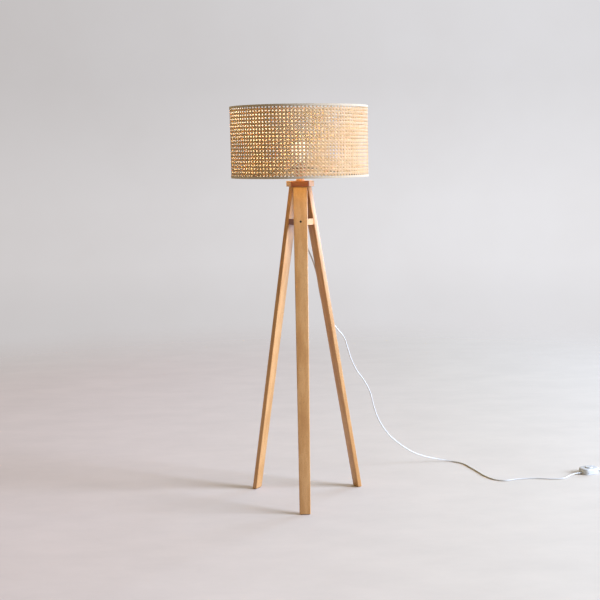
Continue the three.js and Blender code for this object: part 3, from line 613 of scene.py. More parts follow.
# cord from the bushing under the spreader block to the foot switch, as it hangs and lies
cordSizes = {
    "diameter": 0.005,
    "exitHeight": 1.0207,
    "gap": 0.0003,        # between neighbouring pieces, here and in the rest of the lamp
    "spacing": 0.004,     # between the points drawn on the straight and hanging parts
    "reliefLength": 0.022,
}
hangingRoute = [
    (0.005, 0.007, 0.975), (0.023, 0.029, 0.928), (0.04, 0.051, 0.881), (0.053, 0.068, 0.83),
    (0.06, 0.077, 0.78), (0.071, 0.09, 0.723), (0.098, 0.125, 0.655), (0.129, 0.164, 0.604),
    (0.151, 0.191, 0.572), (0.164, 0.207, 0.53), (0.177, 0.224, 0.482), (0.2, 0.253, 0.428),
    (0.232, 0.294, 0.374), (0.255, 0.319, 0.32), (0.268, 0.328, 0.264), (0.29, 0.334, 0.203),
    (0.326, 0.347, 0.145), (0.373, 0.366, 0.097), (0.43, 0.388, 0.055), (0.484, 0.412, 0.029),
    (0.537, 0.432, 0.012), (0.588, 0.43, 0.0035), (0.634, 0.392, 0.0025), (0.66, 0.33, 0.0025),
    (0.681, 0.268, 0.0025), (0.705, 0.198, 0.0025), (0.735, 0.152, 0.0025), (0.772, 0.136, 0.0025),
    (0.818, 0.152, 0.0025), (0.886, 0.16, 0.0025), (0.962, 0.147, 0.0025), (1.006, 0.153, 0.003),
    (1.034, 0.181, 0.0046),
]
footSwitch = {
    "place": (1.12, 0.227),
    "heading": 25,         # degrees, the way the cord runs through it
    "length": 0.074,
    "width": 0.058,
    "height": 0.023,
    "baseHeight": 0.006,
    "baseEdge": 0.0009,
    "cornerShare": 0.38,
    "edge": 0.005,
    "wall": 0.002,
    "holeEdge": 0.0004,
    "cordHeight": 0.0065,
    "button": 0.03,
    "buttonRise": 0.004,
    "flange": (0.002, 0.0015),   # how far it stands out under the cover, and its thickness
    # the button's rounded rim and slightly hollow top, in from its side and down from its rise
    "buttonTop": ((0, 0.0018), (0.0006, 0.0006), (0.0018, 0.0001), (0.005, 0.0004), (0.009, 0.0009)),
    "hollow": 0.0013,
}
spareCord = {
    "tail": 0.036,
    "radius": 0.035,
    "spacing": 0.0057,
    "lift": 0.0012,
    "wholeTurns": 5,
    "exitAngle": 0,
    "end": 0.044,
    "pointsPerTurn": 48,
}
plug = {
    "length": 0.037,
    "width": 0.035,
    "nose": 0.024,
    "thickness": 0.014,
    "edge": 0.0022,
    "flare": 0.35,       # of its length, where it starts to widen
    "pin": 0.004,
    "pinLength": 0.019,
    "pinSpacing": 0.0186,
    "pinStep": 0.00015,  # how much thinner the bare half of a pin is
    "pinTip": 0.0012,
}
diameter = cordSizes["diameter"]
gap = cordSizes["gap"]
reliefStart = footSwitch["length"] / 2 + gap
reliefTip = reliefStart + cordSizes["reliefLength"] + gap
coilTurns = spareCord["wholeTurns"] + (footSwitch["heading"] + 90 - spareCord["exitAngle"]) / 360
coilFloor = spareCord["lift"] + diameter / 2


def alongSwitch(distance, height=footSwitch["cordHeight"]):
    heading = math.radians(footSwitch["heading"])
    x, y = footSwitch["place"]
    return Vector((x + distance * math.cos(heading), y + distance * math.sin(heading), height))


def makeHangingCord():
    top = cordSizes["exitHeight"] - gap
    points = [(0, 0, top), (0, 0, top - 2 * diameter)] + hangingRoute
    points += [alongSwitch(-reliefTip - 2 * diameter), alongSwitch(-reliefTip)]
    line = smoothRoute(points, cordSizes["spacing"])
    for point in line:
        point.z = max(point.z, diameter / 2)  # the smoothed run dips a little into the floor
    return drawCord("lead_cord", line, diameter), line


# the coil winds inwards on the floor, climbs at its middle and winds outwards on top of itself
def coilPoint(turn):
    entry = footSwitch["heading"] + 90
    start = alongSwitch(reliefTip + spareCord["tail"] + gap + diameter)
    centre = start - inPlan(entry) * spareCord["radius"]
    inwards = coilTurns / 2 - abs(turn - coilTurns / 2)
    radius = spareCord["radius"] - spareCord["spacing"] * inwards
    share = min(1, max(0, (turn - coilTurns / 2 + 0.25) / 0.5))
    climb = share * share * (3 - 2 * share)
    angle = math.radians(entry) - math.tau * turn
    return Vector((
        centre.x + radius * math.cos(angle),
        centre.y + radius * math.sin(angle),
        coilFloor + spareCord["spacing"] * climb,
    ))


def makeSpareCord():
    tailEnd = reliefTip + spareCord["tail"]
    steps = round(coilTurns * spareCord["pointsPerTurn"])
    coil = [coilPoint(coilTurns * i / steps) for i in range(steps + 1)]
    exitAngle = math.radians(spareCord["exitAngle"])
    way = Vector((math.sin(exitAngle), -math.cos(exitAngle), 0))
    coilExit = coil[-1] + way * (diameter + gap)
    tail = [alongSwitch(reliefTip), alongSwitch(reliefTip + diameter),
            alongSwitch(tailEnd - diameter, coilFloor), alongSwitch(tailEnd, coilFloor), coil[0]]
    end = [coil[-1], coilExit, coilExit + way * diameter,
           coilExit + way * (spareCord["end"] - diameter), coilExit + way * spareCord["end"]]
    for point in end[3:]:
        point.z = plug["thickness"] / 2
    line = smoothRoute(tail, cordSizes["spacing"])[:-1] + coil
    line += smoothRoute(end, cordSizes["spacing"])[1:]
    return drawCord("spare_cord", line, diameter), line, coilExit, way


leadCord, leadLine = makeHangingCord()
sparePiece, spareLine, coilExit, exitWay = makeSpareCord()
print("cords drawn:", round(routeLength(leadLine), 3), round(routeLength(spareLine), 3))


# block with the switch's outline, round corners in plan and soft edges
def roundedBlock(name, inset, low, high, corner, edge):
    size = (footSwitch["length"] - 2 * inset, footSwitch["width"] - 2 * inset, high - low)
    piece = addBlock(name, size, (0, 0, (low + high) / 2))
    selectRising(piece, (high - low) / 2)
    bpy.ops.mesh.bevel(offset=corner, segments=8, affect="EDGES")
    endEdit()
    cleanMesh(piece)
    bevelEdges(piece, edge, 4)
    return piece


def placeSwitchPiece(piece):
    piece.location = (*footSwitch["place"], 0)
    turnRound(piece, footSwitch["heading"])


# foot switch: base, domed cover with a round hole, button with its flange
def makeFootSwitch():
    s = footSwitch
    corner = s["width"] * s["cornerShare"]
    base = roundedBlock("foot_switch_base", 0, 0, s["baseHeight"], corner, s["baseEdge"])
    low = s["baseHeight"] + gap
    cover = roundedBlock("foot_switch_cover", 0, low - s["edge"], s["height"], corner, s["edge"])
    cutWith(cover, addBlock("underside", (0.2, 0.2, 0.2), (0, 0, low - 0.1)))
    cutWith(cover, roundedBlock("inside", s["wall"], low - s["edge"], s["height"] - s["wall"],
                                corner - s["wall"], s["edge"] - s["wall"]))
    cutWith(cover, addRod("hole", s["button"] / 2 + gap, 0.02, 64, (0, 0, s["height"])))
    bevelEdges(cover, s["holeEdge"], 2, 40)
    radius = s["button"] / 2
    ceiling = s["height"] - s["wall"] - gap
    top = s["height"] + s["buttonRise"]
    out, thickness = s["flange"]
    button = turnPiece("foot_switch_button", [
        (0, ceiling - thickness), (radius + out, ceiling - thickness), (radius + out, ceiling),
        (radius, ceiling), *((radius - inwards, top - down) for inwards, down in s["buttonTop"]),
        (0, top - s["hollow"]),
    ], 64)
    for piece, body, node in ((base, "stand", "switch_base"), (cover, "stand", "switch_cover"),
                              (button, "button", "switch_button")):
        placeSwitchPiece(piece)
        keep(piece, body, "clear_plastic", node)
    return base, cover, button


# coil spring under the button
switchSpring = {"diameter": 0.012, "wire": 0.0012, "turns": 3.5, "pointsPerTurn": 24, "travel": 0.003}


def makeSwitchSpring():
    s = switchSpring
    low, high = (corner[2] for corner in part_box("switch_spring"))
    radius = (s["diameter"] - s["wire"]) / 2
    steps = round(s["turns"] * s["pointsPerTurn"])
    line = []
    for i in range(steps + 1):
        angle = math.tau * s["turns"] * i / steps
        rise = low + s["wire"] / 2 + (high - low - s["wire"]) * i / steps
        line.append(Vector((radius * math.cos(angle), radius * math.sin(angle), rise)))
    piece = drawCord("foot_switch_spring", line, s["wire"])
    pick(piece)
    bpy.ops.object.convert(target="MESH")
    placeSwitchPiece(piece)
    keep(piece, "stand", "bright_steel", "switch_spring", smooth=0)
    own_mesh(piece)
    return piece


relief = {
    "wide": 0.005,
    "thin": 0.0035,
    "rings": 6,
    "ringed": (0.12, 0.8),   # of its length: where the rings start, and how far they reach
    "shape": (0.55, 0.65, 0.95),   # of a step: a ring's end, and the groove's two corners
    "groove": 0.0007,
    "slack": 0.0002,         # round the cord
    "tip": (0.95, 0.0004),   # of its length, where the last ring ends, and how much the tip draws in
}


# moulded strain relief with rings round its taper, laid along the cord from its wide end
def makeRelief(name, node, start, way):
    r = relief
    length = cordSizes["reliefLength"]
    bore = diameter / 2 + r["slack"]
    first, reach = r["ringed"]
    ringEnd, grooveStart, grooveEnd = r["shape"]
    tipStart, tipEdge = r["tip"]
    profile = [(bore, 0), (r["wide"], 0)]
    for i in range(r["rings"]):
        radius = r["wide"] + (r["thin"] - r["wide"]) * (i + 0.5) / r["rings"]
        foot = length * (first + reach * i / r["rings"])
        step = length * reach / r["rings"]
        profile += [(radius, foot), (radius, foot + step * ringEnd),
                    (radius - r["groove"], foot + step * grooveStart),
                    (radius - r["groove"], foot + step * grooveEnd)]
    profile += [(r["thin"], length * tipStart), (r["thin"] - tipEdge, length), (bore, length)]
    piece = turnPiece(name, profile, 40)
    layAlong(piece, start, way)
    return keep(piece, "stand", "clear_plastic", node)


def makePlugHousing(start):
    p = plug
    level = p["thickness"] / 2
    size = (p["length"], p["nose"], p["thickness"])
    housing = addBlock("plug_housing", size, (p["length"] / 2, 0, level))
    editAll(housing)
    bpy.ops.mesh.bisect(plane_co=(p["length"] * p["flare"], 0, 0), plane_no=(1, 0, 0))
    selectPoints(housing, lambda point: point.x > p["length"] - gap)
    bpy.ops.transform.resize(value=(1, p["width"] / p["nose"], 1), center_override=(0, 0, level))
    endEdit()
    bevelEdges(housing, p["edge"], 4, 40)
    housing.location = (start.x, start.y, 0)
    housing.rotation_euler.z = math.atan2(exitWay.y, exitWay.x)
    settle(housing)
    return keep(housing, "stand", "clear_plastic", "plug_body")


def makePlug():
    tip = coilExit + exitWay * (spareCord["end"] + gap)
    tip.z = plug["thickness"] / 2
    wideEnd = tip + exitWay * cordSizes["reliefLength"]
    sleeve = makeRelief("plug_relief_sleeve", "plug_relief", wideEnd, -exitWay)
    start = wideEnd + exitWay * gap
    housing = makePlugHousing(start)
    across = Vector((-exitWay.y, exitWay.x, 0))
    radius, length = plug["pin"] / 2, plug["pinLength"]
    bare = radius - plug["pinStep"]
    pins = []
    for name, side in (("left", 1), ("right", -1)):
        pin = turnPiece("plug_prong_" + name, [
            (0, 0), (radius, 0), (radius, length * 0.5), (bare, length * 0.52),
            (bare, length - plug["pinTip"]), (radius * 0.6, length - 0.0002), (0, length),
        ], 32)
        foot = start + exitWay * (plug["length"] + gap) + across * side * plug["pinSpacing"] / 2
        foot.z = plug["thickness"] / 2
        layAlong(pin, foot, exitWay)
        pins.append(keep(pin, "stand", "bright_steel", "plug_pin_" + name))
    return sleeve, housing, *pins


switchPieces = *makeFootSwitch(), makeSwitchSpring(), nodes["switch_block"]
throughSwitch = inPlan(footSwitch["heading"])
leadRelief = makeRelief("switch_relief_lead", "switch_relief_in", alongSwitch(-reliefStart), -throughSwitch)
tailRelief = makeRelief("switch_relief_tail", "switch_relief_out", alongSwitch(reliefStart), throughSwitch)
plugPieces = makePlug()
keep(leadCord, "stand", "cord_plastic", "cord_hanging", smooth=0)
keep(sparePiece, "stand", "cord_plastic", "cord_tail", "cord_coil", "cord_end", smooth=0)
print("foot switch and plug made")

# stand: three tapered boards under a six-sided plate
stand = {
    "height": 1.182,
    "plateThickness": 0.02,
    "legTopWidth": 0.052,
    "legFootWidth": 0.039,
    "legThickness": 0.017,
    "legTopRadius": 0.0158,
    "legFootRadius": 0.216,
    "edge": 0.0024,
    "endEdge": 0.0005,
    "padThickness": 0.002,
    "boltHeight": 1.034,
    "boltHead": 0.008,
    "boltHeadThickness": 0.004,
    "boltHeadEdge": 0.0006,
    "boltDepth": 0.0048,
    "boltShank": (0.0025, 0.012),       # radius, and how far it runs in behind the leg
    "boltSocket": (0.0023, 0.0024),     # radius and depth
    "angles": {"front": -90, "rear_left": 150, "rear_right": 30},
    "grainStep": (0.37, 0.21, 0.9),     # so that no two legs have the same figure
}
underside = stand["height"] - stand["plateThickness"]
legSlope = (stand["legFootRadius"] - stand["legTopRadius"]) / underside
legLean = math.atan(legSlope)
legDepth = stand["legThickness"] * math.cos(legLean)
legAcross = Vector((math.cos(legLean), 0, math.sin(legLean)))


def legFace(height):
    return stand["legTopRadius"] + (underside - height) * legSlope


def legWidthAt(height):
    taper = stand["legTopWidth"] - stand["legFootWidth"]
    return stand["legTopWidth"] - taper * (underside - height) / underside


boltPlace = Vector((legFace(stand["boltHeight"]), 0, stand["boltHeight"]))


def makeLeg(name, angle, number):
    foot = stand["padThickness"] + gap
    top = underside - gap
    middle = legFace(foot) + stand["legThickness"] / 2
    leg = addBlock("wooden_leg_" + name, (stand["legThickness"], legWidthAt(foot), top - foot),
                   (middle, 0, (foot + top) / 2))
    selectPoints(leg, lambda point: point.z > top - gap)
    bpy.ops.transform.translate(value=(legFace(top) - legFace(foot), 0, 0))
    bpy.ops.transform.resize(value=(1, legWidthAt(top) / legWidthAt(foot), 1), center_override=(0, 0, top))
    selectRising(leg, 0.1)
    bpy.ops.mesh.bevel(offset=stand["edge"], segments=5, affect="EDGES")
    endEdit()
    cleanMesh(leg)
    bevelEdges(leg, stand["endEdge"], 2, 60)
    length = 0.04
    bore = addRod("bore", stand["boltHead"] / 2 + gap, length, 48)
    layAlong(bore, boltPlace + legAcross * (legDepth - stand["boltDepth"] - gap + length / 2), legAcross)
    cutWith(leg, bore)
    turnRound(leg, angle)
    material = makeWood("legWood_" + name, (0, 0, math.radians(-angle)),
                        [step * number for step in stand["grainStep"]])
    keep(leg, "stand", "honey_wood", "leg_" + name, smooth=40, material=material)


# bolt heads: round caps with a six-sided socket
def makeBoltHead(name, angle):
    radius = stand["boltHead"] / 2
    edge = stand["boltHeadEdge"]
    shank, reach = stand["boltShank"]
    socket, depth = stand["boltSocket"]
    low = legDepth - stand["boltDepth"]
    high = low + stand["boltHeadThickness"]
    bolt = turnPiece("bolt_" + name, [
        (0, -reach), (shank, -reach), (shank, low), (radius, low), (radius, high - edge),
        (radius - edge, high), (0, high),
    ], 40)
    cutWith(bolt, addRod("socket", socket, 0.006, 6, (0, 0, high - depth + 0.003)))
    layAlong(bolt, boltPlace, legAcross)
    turnRound(bolt, angle)
    keep(bolt, "stand", "black_steel", "leg_bolt_" + name)


for number, (name, angle) in enumerate(stand["angles"].items()):
    makeLeg(name, angle, number)
print("legs made")
for name, angle in stand["angles"].items():
    makeBoltHead(name, angle)

# lampholder, collar and what clamps the shade
holder = {
    "collarFoot": 1.1823,
    "collarHeight": 0.01,
    "collarRadius": 0.0155,
    "collarTopRadius": 0.0095,
    "capHeight": 0.015,
    "capFootRadius": 0.0095,
    "radius": 0.018,
    "wall": 0.0015,
    "edge": 0.0003,
    "shellHeight": 0.035,
    "bead": (0.004, 0.0006, 0.0004),   # its height over the shell's foot, half its width and its depth
    "seatHeight": 0.019,
    "seatRadius": 0.023,
    "seatThickness": 0.002,
    "lip": 0.0016,
    "rim": 0.0006,
    "thread": 0.0006,
    "crest": ((0, 0), (0.3, 1), (0.5, 1), (0.8, 0)),   # shares of the pitch and of the thread's depth
    "pitch": 0.0025,
    "bore": 0.0053,
}
holderFoot = holder["collarFoot"] + holder["collarHeight"] + gap
shellFoot = holderFoot + holder["capHeight"] + gap
shellTop = shellFoot + holder["shellHeight"]
seatTop = shellFoot + holder["seatHeight"]


# quarter of an oval from its foot up, as points of a profile: a dome or the side of a bowl
def quarter(centreRadius, foot, reach, height, steps, dome):
    points = []
    for i in range(steps + 1):
        angle = math.pi / 2 * i / steps
        if dome:
            points.append((centreRadius + reach * math.cos(angle), foot + height * math.sin(angle)))
        else:
            points.append((centreRadius + reach * math.sin(angle), foot + height * (1 - math.cos(angle))))
    return points


def finishHolderPiece(piece, node):
    bevelEdges(piece, holder["edge"])
    keep(piece, "stand", "bronze", node)


def makeCollar():
    h = holder
    foot, wall, radius = h["collarFoot"], h["wall"], h["collarTopRadius"]
    top = foot + h["collarHeight"]
    reach = h["collarRadius"] - radius
    outer = quarter(radius, foot, reach, h["collarHeight"], 12, True)
    inner = quarter(radius - wall, foot, reach, h["collarHeight"] - wall, 12, True)
    profile = outer + [(h["bore"], top), (h["bore"], top - wall)] + inner[::-1]
    finishHolderPiece(turnPiece("domed_collar", profile, 72), "plate_collar")


def makeCap():
    h = holder
    base, wall = h["capFootRadius"], h["wall"]
    reach = h["radius"] - base
    outer = quarter(base, holderFoot, reach, h["capHeight"], 14, False)
    inner = quarter(base - wall, holderFoot + wall, reach, h["capHeight"] - wall, 14, False)
    profile = [(h["bore"], holderFoot)] + outer + inner[::-1] + [(h["bore"], holderFoot + wall)]
    finishHolderPiece(turnPiece("lampholder_cap", profile, 72), "holder_cap")


def makeShell():
    h = holder
    radius, wall, rim = h["radius"], h["wall"], h["rim"]
    bore = radius - wall
    seatFoot = seatTop - h["seatThickness"]
    beadHeight, beadHalf, beadDepth = h["bead"]
    bead = shellFoot + beadHeight
    profile = [
        (bore, shellFoot), (radius, shellFoot), (radius, bead), (radius - beadDepth, bead + beadHalf),
        (radius, bead + 2 * beadHalf), (radius, seatFoot), (h["seatRadius"], seatFoot),
        (h["seatRadius"], seatTop), (radius, seatTop),
    ]
    for i in range(int((shellTop - seatTop - 2 * h["pitch"]) / h["pitch"])):
        start = seatTop + h["pitch"] * (i + 1)
        profile += [(radius + h["thread"] * out, start + h["pitch"] * up) for up, out in h["crest"]]
    profile += [
        (radius, shellTop - rim), (radius - rim, shellTop), (bore - h["lip"], shellTop),
        (bore - h["lip"], shellTop - wall), (bore, shellTop - wall),
    ]
    keep(turnPiece("lampholder_shell", profile, 72), "stand", "bronze", "holder_shell", smooth=25)


makeCollar()
makeCap()
makeShell()
print("lampholder made")

shade = {
    "radius": 0.25,
    "bottom": 1.195,
    "height": 0.255,
    "bandWidth": 0.008,
    "bandThickness": 0.0007,
    "bandClear": 0.0001,      # the band's outside is this far inside the shade's radius
    "bandInside": ((0, 0.0012), (0.0006, 0.0003), (0.0015, 0)),    # its soft folds, in and up
    "bandOutside": ((0.0012, 0), (0.0004, 0.0003), (0, 0.0012)),
    "bandCrease": 0.0006,
    "caneThickness": 0.0018,
    "wire": 0.004,
    "hubRadius": 0.03,
    "hubThickness": 0.002,
    "hubLip": 0.004,
    "hubEdge": 0.0004,
    "spoke": 0.0036,
    "spokeEdge": 0.0003,
    "spokeEnds": (0.0002, 0.0004),   # how far a spoke goes into the hub's lip and the wire
    "spokeAngles": (-20, 100, 220),
    "ringHeight": 0.007,
    "ringEdges": (0.0008, 0.0006),   # outside and inside
    "ringRibs": 24,
    "ribDepth": 0.001,
}
hubFoot = seatTop + gap
hubTop = hubFoot + shade["hubThickness"]
hubBore = holder["radius"] + holder["thread"] + gap
shadeTop = shade["bottom"] + shade["height"]
caneOuter = shade["radius"] - shade["bandThickness"] - gap
caneInner = caneOuter - shade["caneThickness"]
wireCentre = caneInner - gap - shade["wire"] / 2
wireLevel = shade["bandThickness"] + gap + shade["wire"] / 2


def makeHub():
    s = shade
    rim = s["hubRadius"] - s["hubThickness"]
    lipTop = hubFoot + s["hubLip"]
    hub = turnPiece("spider_hub", [
        (hubBore, hubFoot), (s["hubRadius"], hubFoot), (s["hubRadius"], lipTop), (rim, lipTop),
        (rim, hubTop), (hubBore, hubTop),
    ])
    bevelEdges(hub, s["hubEdge"])
    keep(hub, "shade", "black_steel", "shade_hub")


def makeSpoke(number, angle):
    s = shade
    atHub, atWire = s["spokeEnds"]
    start = Vector((s["hubRadius"] - atHub, 0, hubFoot + s["hubLip"] / 2))
    end = Vector((wireCentre - s["wire"] / 2 + atWire, 0, s["bottom"] + wireLevel))
    spoke = addRod("spider_spoke_" + str(number), s["spoke"] / 2, (end - start).length, 24)
    layAlong(spoke, (start + end) / 2, end - start)
    turnRound(spoke, angle)
    bevelEdges(spoke, s["spokeEdge"])
    keep(spoke, "shade", "black_steel", "shade_spoke_" + str(number))


def makeWire(name, level):
    wire = addShape(bpy.ops.mesh.primitive_torus_add, "rim_" + name, major_radius=wireCentre,
                    minor_radius=shade["wire"] / 2, major_segments=192, minor_segments=10,
                    location=(0, 0, level))
    settle(wire)
    keep(wire, "shade", "bright_steel", "shade_" + name, smooth=60)


# tape folded over the rim wire and the cane's edge, a little slack along its free edges
def makeBand(name, edge, up):
    s = shade
    thickness, width, crease = s["bandThickness"], s["bandWidth"], s["bandCrease"]
    inner = wireCentre - s["wire"] / 2 - gap - thickness
    outer = s["radius"] - s["bandClear"]
    profile = [(inner + across, height) for across, height in s["bandInside"]]
    profile += [(outer - across, height) for across, height in s["bandOutside"]]
    profile += [
        (outer, width - 0.0003), (outer - 0.0003, width), (outer - thickness, width),
        (outer - thickness, thickness + 0.0004), (outer - thickness - crease, thickness),
        (inner + thickness + crease, thickness), (inner + thickness, thickness + crease),
        (inner + thickness, width), (inner, width),
    ]
    placed = [(radius, edge + up * height) for radius, height in profile]
    band = turnPiece("rim_tape_" + name, placed, 192)
    keep(band, "shade", "white_tape", "edge_band_" + name, smooth=40)


# fluted ring that screws down on the hub
def makeShadeRing():
    s = shade
    foot = hubTop + gap
    top = foot + s["ringHeight"]
    radius = s["hubRadius"] - s["hubThickness"] - gap
    outside, inside = s["ringEdges"]
    ring = turnPiece("clamp_ring", [
        (hubBore, foot), (radius, foot), (radius, top - outside), (radius - outside, top),
        (hubBore + inside, top), (hubBore, top - inside),
    ], s["ringRibs"] * 6)
    for vertex in ring.data.vertices:
        reach = math.hypot(vertex.co.x, vertex.co.y)
        if reach > radius - 2 * s["ribDepth"]:
            angle = math.atan2(vertex.co.y, vertex.co.x)
            dip = s["ribDepth"] / 2 * (1 - math.cos(angle * s["ringRibs"]))
            vertex.co.x *= 1 - dip / reach
            vertex.co.y *= 1 - dip / reach
    keep(ring, "ring", "black_plastic", "shade_ring", smooth=50)


makeHub()
for number, angle in enumerate(shade["spokeAngles"], 1):
    makeSpoke(number, angle)
makeWire("wire_bottom", shade["bottom"] + wireLevel)
makeWire("wire_top", shadeTop - wireLevel)
makeBand("bottom", shade["bottom"], 1)
makeBand("top", shadeTop, -1)
makeShadeRing()
print("shade carrier and bands made")

# cane webbing: pairs of uprights and rounds in plain weave, one slanting strand each way through them
weave = {
    "columns": 117,
    "rows": 20,
    "firstHole": 0.0102,      # lower edge of the shade to the first row's middle
    "rowPitch": 0.01236,
    "radius": (caneOuter + caneInner) / 2,
    "width": 0.0033,
    "thickness": 0.0006,
    "pairHalf": 0.0018,       # from the pair's middle to each strand's middle
    "wave": 0.0003,           # how far a strand swings out and in
    "slantWidth": 0.0034,
    "slantWave": 0.00058,
    "sides": 6,
    "merge": 0.00002,         # ends of a round that are nearer than this are joined
}
rowPitch = weave["rowPitch"]
weaveFoot = shade["bottom"] + weave["firstHole"] - rowPitch / 2
columnPitch = math.tau * weave["radius"] / weave["columns"]


# a flattened rod with loops of points along it, and its skin marked on the outside
def startStrand(name, width, loops, capped):
    strand = addShape(bpy.ops.mesh.primitive_cylinder_add, name, vertices=weave["sides"], radius=0.5,
                      depth=loops, end_fill_type="NGON" if capped else "NOTHING")
    turnRound(strand, 30)
    strand.scale = (width, weave["thickness"], 1)
    settle(strand)
    selectRising(strand, 0.5)
    bpy.ops.mesh.subdivide(number_cuts=loops - 1)
    endEdit()
    skin = strand.data.attributes.new("skin", "FLOAT", "POINT")
    for vertex, share in zip(strand.data.vertices, skin.data):
        share.value = 1 if vertex.co.y > 0 else 0
    return strand


# each point with its loop's number and its place in the strand's own section
def strandPoints(strand, loops):
    for vertex in strand.data.vertices:
        yield vertex, round(vertex.co.z + loops / 2), vertex.co.x, vertex.co.y


def wrapped(along, outwards, height):
    angle = along / weave["radius"]
    radius = weave["radius"] + outwards
    return (radius * math.cos(angle), radius * math.sin(angle), weaveFoot + height)


# a strand's place along its run and its swing, at one strand of a pair, at the other or between pairs
def weaveStep(loop, pitch, side):
    cell, kind = divmod(loop, 3)
    along = cell * pitch + (-weave["pairHalf"], weave["pairHalf"], pitch / 2)[kind]
    return along, (side, -side, 0)[kind] * weave["wave"]


def makeUpright(side):
    loops = 3 * weave["rows"]
    strand = startStrand("upright", weave["width"], loops, True)
    for vertex, loop, across, out in strandPoints(strand, loops):
        height, swing = weaveStep(loop, rowPitch, -side)
        vertex.co = wrapped(side * weave["pairHalf"] + across, swing + out, height)
    return strand


def makeRound(side):
    loops = 3
    strand = startStrand("round", weave["width"], loops, False)
    for vertex, loop, across, out in strandPoints(strand, loops):
        along, swing = weaveStep(loop, columnPitch, side)
        vertex.co = wrapped(along, swing + out, side * weave["pairHalf"] + across)
    return strand


def makeSlant(side):
    loops = 2 * weave["rows"]
    strand = startStrand("slant", weave["slantWidth"], loops, True)
    tilt = math.atan2(columnPitch, rowPitch)
    for vertex, loop, across, out in strandPoints(strand, loops):
        share = loop / 2
        swing = side * weave["slantWave"] * (1 if loop % 2 else -1)
        along = side * (share - 0.5) * columnPitch + across * math.cos(tilt)
        height = share * rowPitch - side * across * math.sin(tilt)
        vertex.co = wrapped(along, swing + out, height)
    return strand


def joinPieces(name, first, second):
    pick(first)
    second.select_set(True)
    bpy.ops.object.join()
    first.name = name
    first.data.name = name
    return first


def repeatRound(piece, merge=False):
    turner = addObject("turner", None)
    turner.rotation_euler.z = math.tau / weave["columns"]
    bpy.context.view_layer.update()
    array = piece.modifiers.new("roundTheShade", "ARRAY")
    array.count = weave["columns"]
    array.use_relative_offset = False
    array.use_object_offset = True
    array.offset_object = turner
    array.use_merge_vertices = merge
    array.use_merge_vertices_cap = merge
    array.merge_threshold = weave["merge"]
    applyModifiers(piece)
    bpy.data.objects.remove(turner)


def repeatUp(piece):
    array = piece.modifiers.new("upTheShade", "ARRAY")
    array.count = weave["rows"] + 1
    array.use_relative_offset = False
    array.use_constant_offset = True
    array.constant_offset_displace = (0, 0, rowPitch)
    applyModifiers(piece)


def finishStrands(piece, run):
    cleanMesh(piece)
    pick(piece)
    bpy.ops.object.shade_smooth()
    keep(piece, "shade", "cane", "cane_wall", smooth=0, material=makeCane(piece.name + "_cane", run))


def makeWeave():
    uprights = joinPieces("cane_uprights", makeUpright(-1), makeUpright(1))
    repeatRound(uprights)
    finishStrands(uprights, "upright")
    rounds = joinPieces("cane_rounds", makeRound(-1), makeRound(1))
    repeatRound(rounds, True)
    repeatUp(rounds)
    finishStrands(rounds, "round")
    for name, side in (("cane_slants_right", 1), ("cane_slants_left", -1)):
        slants = makeSlant(side)
        slants.name = name
        repeatRound(slants)
        finishStrands(slants, "slant")


makeWeave()
print("cane webbing woven")

bulb = {
    "foot": 1.2196,
    "length": 0.108,
    "radius": 0.03,
    "neck": 0.0119,
    "neckLength": 0.0025,
    "shoulder": 1.2469,
    "wall": 0.001,
    # from the shoulder up to the globe's middle, as shares of the globe's radius and of that height
    "sides": ((0.45, 0.02), (0.465, 0.1), (0.49, 0.2), (0.54, 0.32), (0.62, 0.45), (0.72, 0.58),
              (0.82, 0.7), (0.91, 0.82), (0.975, 0.92)),
    "steps": 18,
}
bulbMiddle = bulb["foot"] + bulb["length"] - bulb["radius"]


# frosted globe whose neck runs down into the screw cap
def makeBulb():
    radius, neck, shoulder, wall = bulb["radius"], bulb["neck"], bulb["shoulder"], bulb["wall"]
    outer = [(neck, shoulder - bulb["neckLength"]), (neck, shoulder)]
    outer += [(radius * r, shoulder + (bulbMiddle - shoulder) * z) for r, z in bulb["sides"]]
    outer += quarter(0, bulbMiddle, radius, radius, bulb["steps"], True)
    inner = [(max(0, across - wall), height - (wall if i > len(outer) / 2 else 0))
             for i, (across, height) in enumerate(outer)]
    glass = turnPiece("bulb_globe", outer + inner[::-1], 72)
    pick(glass)
    bpy.ops.object.shade_smooth()
    glass.visible_shadow = False
    keep(glass, "bulb", "opal_glass", "bulb_glass", smooth=0)


makeBulb()
print("bulb made")

# finishes of the solids that stay as they are
carried = {
    "plate": ["top_plate"],
    "spreader": ["spreader_block"],
    "felt": ["foot_pad_" + leg for leg in stand["angles"]],
    "bright_steel": [*("plate_screw_" + leg for leg in stand["angles"]), "tube_washer", "tube_nut",
                     "bulb_contact", "bulb_cap"],
    "brass": [*("spreader_insert_" + leg for leg in stand["angles"]), "threaded_tube", "centre_contact",
              "screw_shell"],
    "ceramic": ["holder_block", "cord_bushing", "switch_block"],
    "black_plastic": ["bulb_insulator"],
    "opal_glass": ["bulb_stem"],
    "seamCane": ["shade_seam"],
    "white_tape": ["coil_tie"],
    "cord_plastic": ["cord_inside"],
}
for finish, names in carried.items():
    for name in names:
        nodes[name].data.materials.clear()
        nodes[name].data.materials.append(finishes[finish])
print("solids finished")

